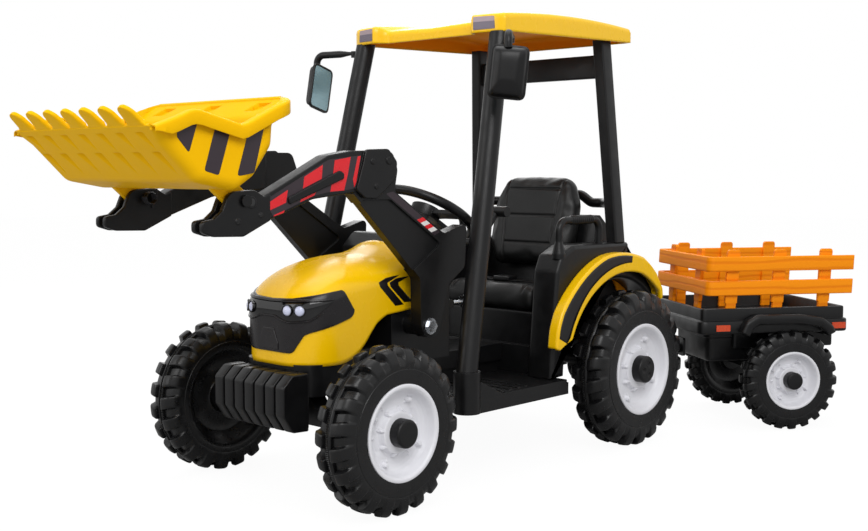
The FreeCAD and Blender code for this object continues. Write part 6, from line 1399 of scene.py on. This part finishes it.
def addBed():
    # the bed, the tub below its front and the box between the arches, each one outline at several heights and insets
    solids = []
    for plan, rings in (("plan", "rings"), ("tub", "tubRings"), ("arch", "archRings")):
        outline = boxOutline(*bedSet[plan], 9)
        solids.append(stacked([acrossZ(insetOutline(outline, inset), height) for height, inset in bedSet[rings]]))
    addSolids("look_trailer_bed", solids, "blackPolypropylene", "trailer", "black_plastic", ("trailer_bed",), onTrailer)
    # a moulded brow over each wheel: the section is carried along the brow's line, square to it
    line, _ = sampleLine(roundedOutline(bedSet["flare"], 8), 90)
    ahead = unit(np.gradient(line, axis=0))
    under = np.stack([ahead[:, 1], -ahead[:, 0]], axis=1)
    section = np.array(bedSet["flareSection"])
    yz = line[:, None] + section[None, :, 1:] * under[:, None]
    grid = np.concatenate([np.broadcast_to(section[None, :, :1], yz.shape[:2] + (1,)), yz], axis=-1)
    addPiece("look_trailer_brows", *bothHalves(grid, bedSet["flareInside"]), "blackPolypropylene", "trailer",
             "black_plastic", space=onTrailer, wall=bedSet["flareWall"])


addBed()
print("trailer bed made")

# fence

fenceSet = {
    "half": 172.0, "front": 350.0, "rear": 756.0, "rail": 10.0, "corner": 13.0, "tall": 38.0, "levels": (351.0, 413.0),
    "lean": 0.05, "leanFrom": 318.0, "post": 10.0, "frontPosts": (-84.0, 84.0), "sidePosts": (422.0, 552.0, 682.0),
    "railRound": 2.4, "postRound": 1.8,
    # height and half width of each ring of a post, from its foot in the bed to its rounded top
    "postRings": ((284, 13.2), (329, 13.6), (330.5, 16.2), (350, 16.6), (460, 17.0), (465, 16.0), (468, 12.5)),
}


def leanedBack(points):
    # the whole fence leans a little to the rear
    return points + np.outer(fenceSet["lean"] * (points[:, 2] - fenceSet["leanFrom"]), (0, 1, 0))


def addFence():
    f = fenceSet
    # each rail is a rounded board carried along one side, round the front corners and along the other side
    half, thin = f["rail"] / 2, f["post"] / 2
    edge, front = f["half"] - half, f["front"] + half
    plan = ((edge, f["rear"], 0), (edge, front, f["corner"]), (-edge, front, f["corner"]), (-edge, f["rear"], 0))
    line, _ = sampleLine(roundedOutline(plan, 9), 240)
    board = boxOutline((-half, 0), (half, f["tall"]), f["railRound"], 5)
    solids = [carried(acrossZ(line, level), board) for level in f["levels"]]
    # posts stand inside the rails on narrower feet
    inner = f["half"] - f["rail"] - thin
    places = [(x, front + f["rail"], True) for x in f["frontPosts"]]
    places += [(side * inner, y, False) for y in f["sidePosts"] for side in (1, -1)]
    for x, y, facing in places:
        rings = []
        for height, wide in f["postRings"]:
            a, b = (wide, thin) if facing else (thin, wide)
            rings.append(acrossZ(boxOutline((x - a, y - b), (x + a, y + b), f["postRound"], 4), height))
        solids.append(stacked(rings))
    solids = [(leanedBack(p), faces, ends) for p, faces, ends in solids]
    addSolids("look_fence", solids, "fencePolyethylene", "trailer", "fence_plastic", ("fence_front", "fence_sides"),
              onTrailer)


addFence()
print("fence made")

# mirrors

mirrorSet = {
    "pin": (247.7, -430.0, 951.2), "reach": 112.0, "bend": 20.0, "arm": 8.6, "drop": -26.0, "armZ": 5.0,
    "armAt": (6.4, 14, 40, 112), "neck": 4.6, "half": (40.0, 56.0), "corner": 16.0, "middle": -76.0, "face": 98.0,
    # how far each ring of the housing lies behind the glass face and inside its outline: seat, lip and groove
    "rings": ((2.6, 5.4), (0.7, 4.8), (0.0, 4.0), (0.0, 1.0), (0.9, 0.0), (6.0, 0.0), (7.0, 1.2), (7.0, 3.4),
              (8.2, 4.2)),
    "dome": 17.0, "ridge": 3.0, "glass": (0.9, 2.4), "glassInset": 5.6,
    "eye": ((3.2, 0.0), (8.0, 0.0), (8.0, 10.0), (3.2, 10.0)),
    # side of the tractor, swivel and lean in degrees
    "left": (1, -53.0, -6.0), "right": (-1, 13.0, -13.0),
}


def turned(a, b, degrees):
    c, s = math.cos(math.radians(degrees)), math.sin(math.radians(degrees))
    return a * c - b * s, a * s + b * c


def addMirror(name, body, side, swivel, lean):
    m = mirrorSet
    wide, tall = m["half"]
    outline = boxOutline((-wide, -tall), (wide, tall), m["corner"], 8)

    def faced(flat, depth):
        # a flat shape turned by the lean and set at a depth along the arm
        across, up = turned(flat[:, 0], flat[:, 1], lean)
        return np.stack([m["face"] + np.broadcast_to(depth, across.shape), across, up + m["middle"]], axis=1)

    def onPin(solid):
        # from the mirror's own axes (out along its arm, across, up from the pin) to the tractor
        points, faces, ends = solid
        x, y = turned(side * points[:, 0], points[:, 1], swivel)
        pin = np.array(m["pin"]) * np.array([side, 1, 1])
        return np.stack([x, y, points[:, 2]], axis=1) + pin, faces, ends

    rings = [faced(insetOutline(outline, inset), depth) for depth, inset in m["rings"]]
    # the back swells from the groove to the middle, with a raised panel down its centre that stops above the foot
    groove, rim = m["rings"][-1][0], insetOutline(outline, m["rings"][-1][1])
    for share in np.linspace(1, 0.03, 14)[1:]:
        flat = rim * share
        a, b = np.abs(flat[:, 0]) / wide, flat[:, 1] / tall
        swell = math.sqrt(1 - share ** 5)
        panel = np.clip((0.66 - a) / 0.2, 0, 1) * np.clip((b + 0.62) / 0.3, 0, 1)
        rings.append(faced(flat, groove + swell * m["dome"] + min(1, 2 * swell) * m["ridge"] * panel))
    # the arm runs out level and bends down to the housing
    turn = np.linspace(0, math.pi / 2, 10)
    level = np.linspace(m["armAt"][0], m["reach"] - m["bend"], 16)[:-1]
    line = np.stack([np.concatenate([level, m["reach"] - m["bend"] * (1 - np.sin(turn)), [m["reach"]]]), np.zeros(26),
                     np.concatenate([m["armZ"] + 0 * level, m["armZ"] - m["bend"] * (1 - np.cos(turn)), [m["drop"]]])],
                    axis=1)
    arm = tubeAlong(line, np.interp(line[:, 0], m["armAt"], (m["neck"], m["neck"], m["arm"], m["arm"])), 18)
    eye, around = np.array(m["eye"])[:, :, None], fullTurn(32)
    ring = np.stack(np.broadcast_arrays(eye[:, 0] * np.cos(around), eye[:, 0] * np.sin(around), eye[:, 1]), axis=-1)
    solids = [stacked(rings), arm, (ring.reshape(-1, 3), gridFaces(*ring.shape[:2], True, True), [])]
    addSolids("look_" + name, [onPin(solid) for solid in solids], "blackPolypropylene", body, "black_plastic", (name,))
    # the glass is drawn in the foil whose blue grey is a painted reflection
    glass = stacked([faced(insetOutline(outline, m["glassInset"]), depth) for depth in m["glass"]])
    addSolids("look_%s_glass" % name, [onPin(glass)], "reflectionPaintedFoil", body, "mirror_face", (name + "_glass",))


addMirror("left_mirror", "mirror_left", *mirrorSet["left"])
addMirror("right_mirror", "mirror_right", *mirrorSet["right"])
print("mirrors made")

# rear posts

postSet = {
    "foot": (221.0, 11.0, 495.0), "top": (195.6, -23.0, 986.0), "half": (15.0, 20.0), "round": 6.0,
    "bar": (896.0, 952.0), "barHalf": 10.0, "barRound": 4,
    "railRadius": 12.0, "railZ": 590.0, "railRise": 20.0, "railBack": 38.0,
    "backRun": 60, "riseFrom": 130, "riseRun": 45,
}


def addRearPosts():
    p = postSet
    foot, top = np.array(p["foot"]), np.array(p["top"])

    def onPost(z):
        # the post's middle at a height
        return (foot + (top - foot) * (z - foot[2]) / (top[2] - foot[2]))[:2]

    a, b = p["half"]
    outline = boxOutline((-a, -b), (a, b), p["round"])
    places = [foot + (top - foot) * share for share in (0, 0.25, 0.5, 0.75, 1)]
    solids = [stacked([acrossZ(outline + np.array([side * x, y]), z) for x, y, z in places]) for side in (1, -1)]
    low, high = p["bar"]
    x, y = onPost((low + high) / 2)
    bar = boxOutline((y - p["barHalf"], low), (y + p["barHalf"], high), p["barRound"])
    solids.append(bevelPlate(bar, -x, x, 0.5, acrossX))
    # the back rail leaves each post, sets back behind the seat and rises in a slow S
    x, y = onPost(p["railZ"])
    line = np.linspace(x, -x, 90)
    into = eased(np.clip((x - np.abs(line)) / p["backRun"], 0, 1))
    climb = eased(np.clip((p["riseFrom"] - np.abs(line)) / p["riseRun"], 0, 1))
    path = np.stack([line, y + p["railBack"] * into, p["railZ"] + p["railRise"] * climb], axis=1)
    solids.append(tubeAlong(path, p["railRadius"], 18))
    addSolids("look_rear_posts", solids, "blackPolypropylene", "tractor", "black_plastic", ("rear_post_frame",))


addRearPosts()
print("rear posts made")

# plain finishes for the frame's own pieces

nodeFinish = {
    "yellowAbs": ("hood", "roof", "fenders", "bucket"),
    "blackPolypropylene": ("chassis", "footwell", "front_weights", "dashboard", "steering_wheel", "accelerator_pedal",
                           "rear_body", "loader_arm_fronts", "loader_arm_rears", "front_posts", "rear_post_frame",
                           "grab_handles", "left_mirror", "right_mirror", "loader_lever", "trailer_bed",
                           "trailer_chassis", "battery", "drive_motors", "bucket_pins"),
    "charcoalAbs": ("grille_mask",),
    "fencePolyethylene": ("fence_front", "fence_sides"),
    "seatLeatherette": ("seat_cushion", "seat_back"),
    "blackVinyl": ("seat_belt",),
    "zincSteel": ("left_knuckle", "right_knuckle", "tie_rod", "rear_axle", "steering_shaft", "direction_lever",
                  "loader_pivot_shaft"),
    "redVinyl": ("start_button",),
    "reflectorAcrylic": ("trailer_reflectors",),
    "lampAcrylic": ("headlights",),
    "roofLampLens": ("roof_lamps",),
    # mirror glass in the foil whose colour is a painted reflection
    "reflectionPaintedFoil": ("left_mirror_glass", "right_mirror_glass"),
}
for finishName, members in nodeFinish.items():
    for member in members:
        data = nodes[member].data
        data.materials.clear()
        data.materials.append(finish[finishName])
print("frame pieces finished")
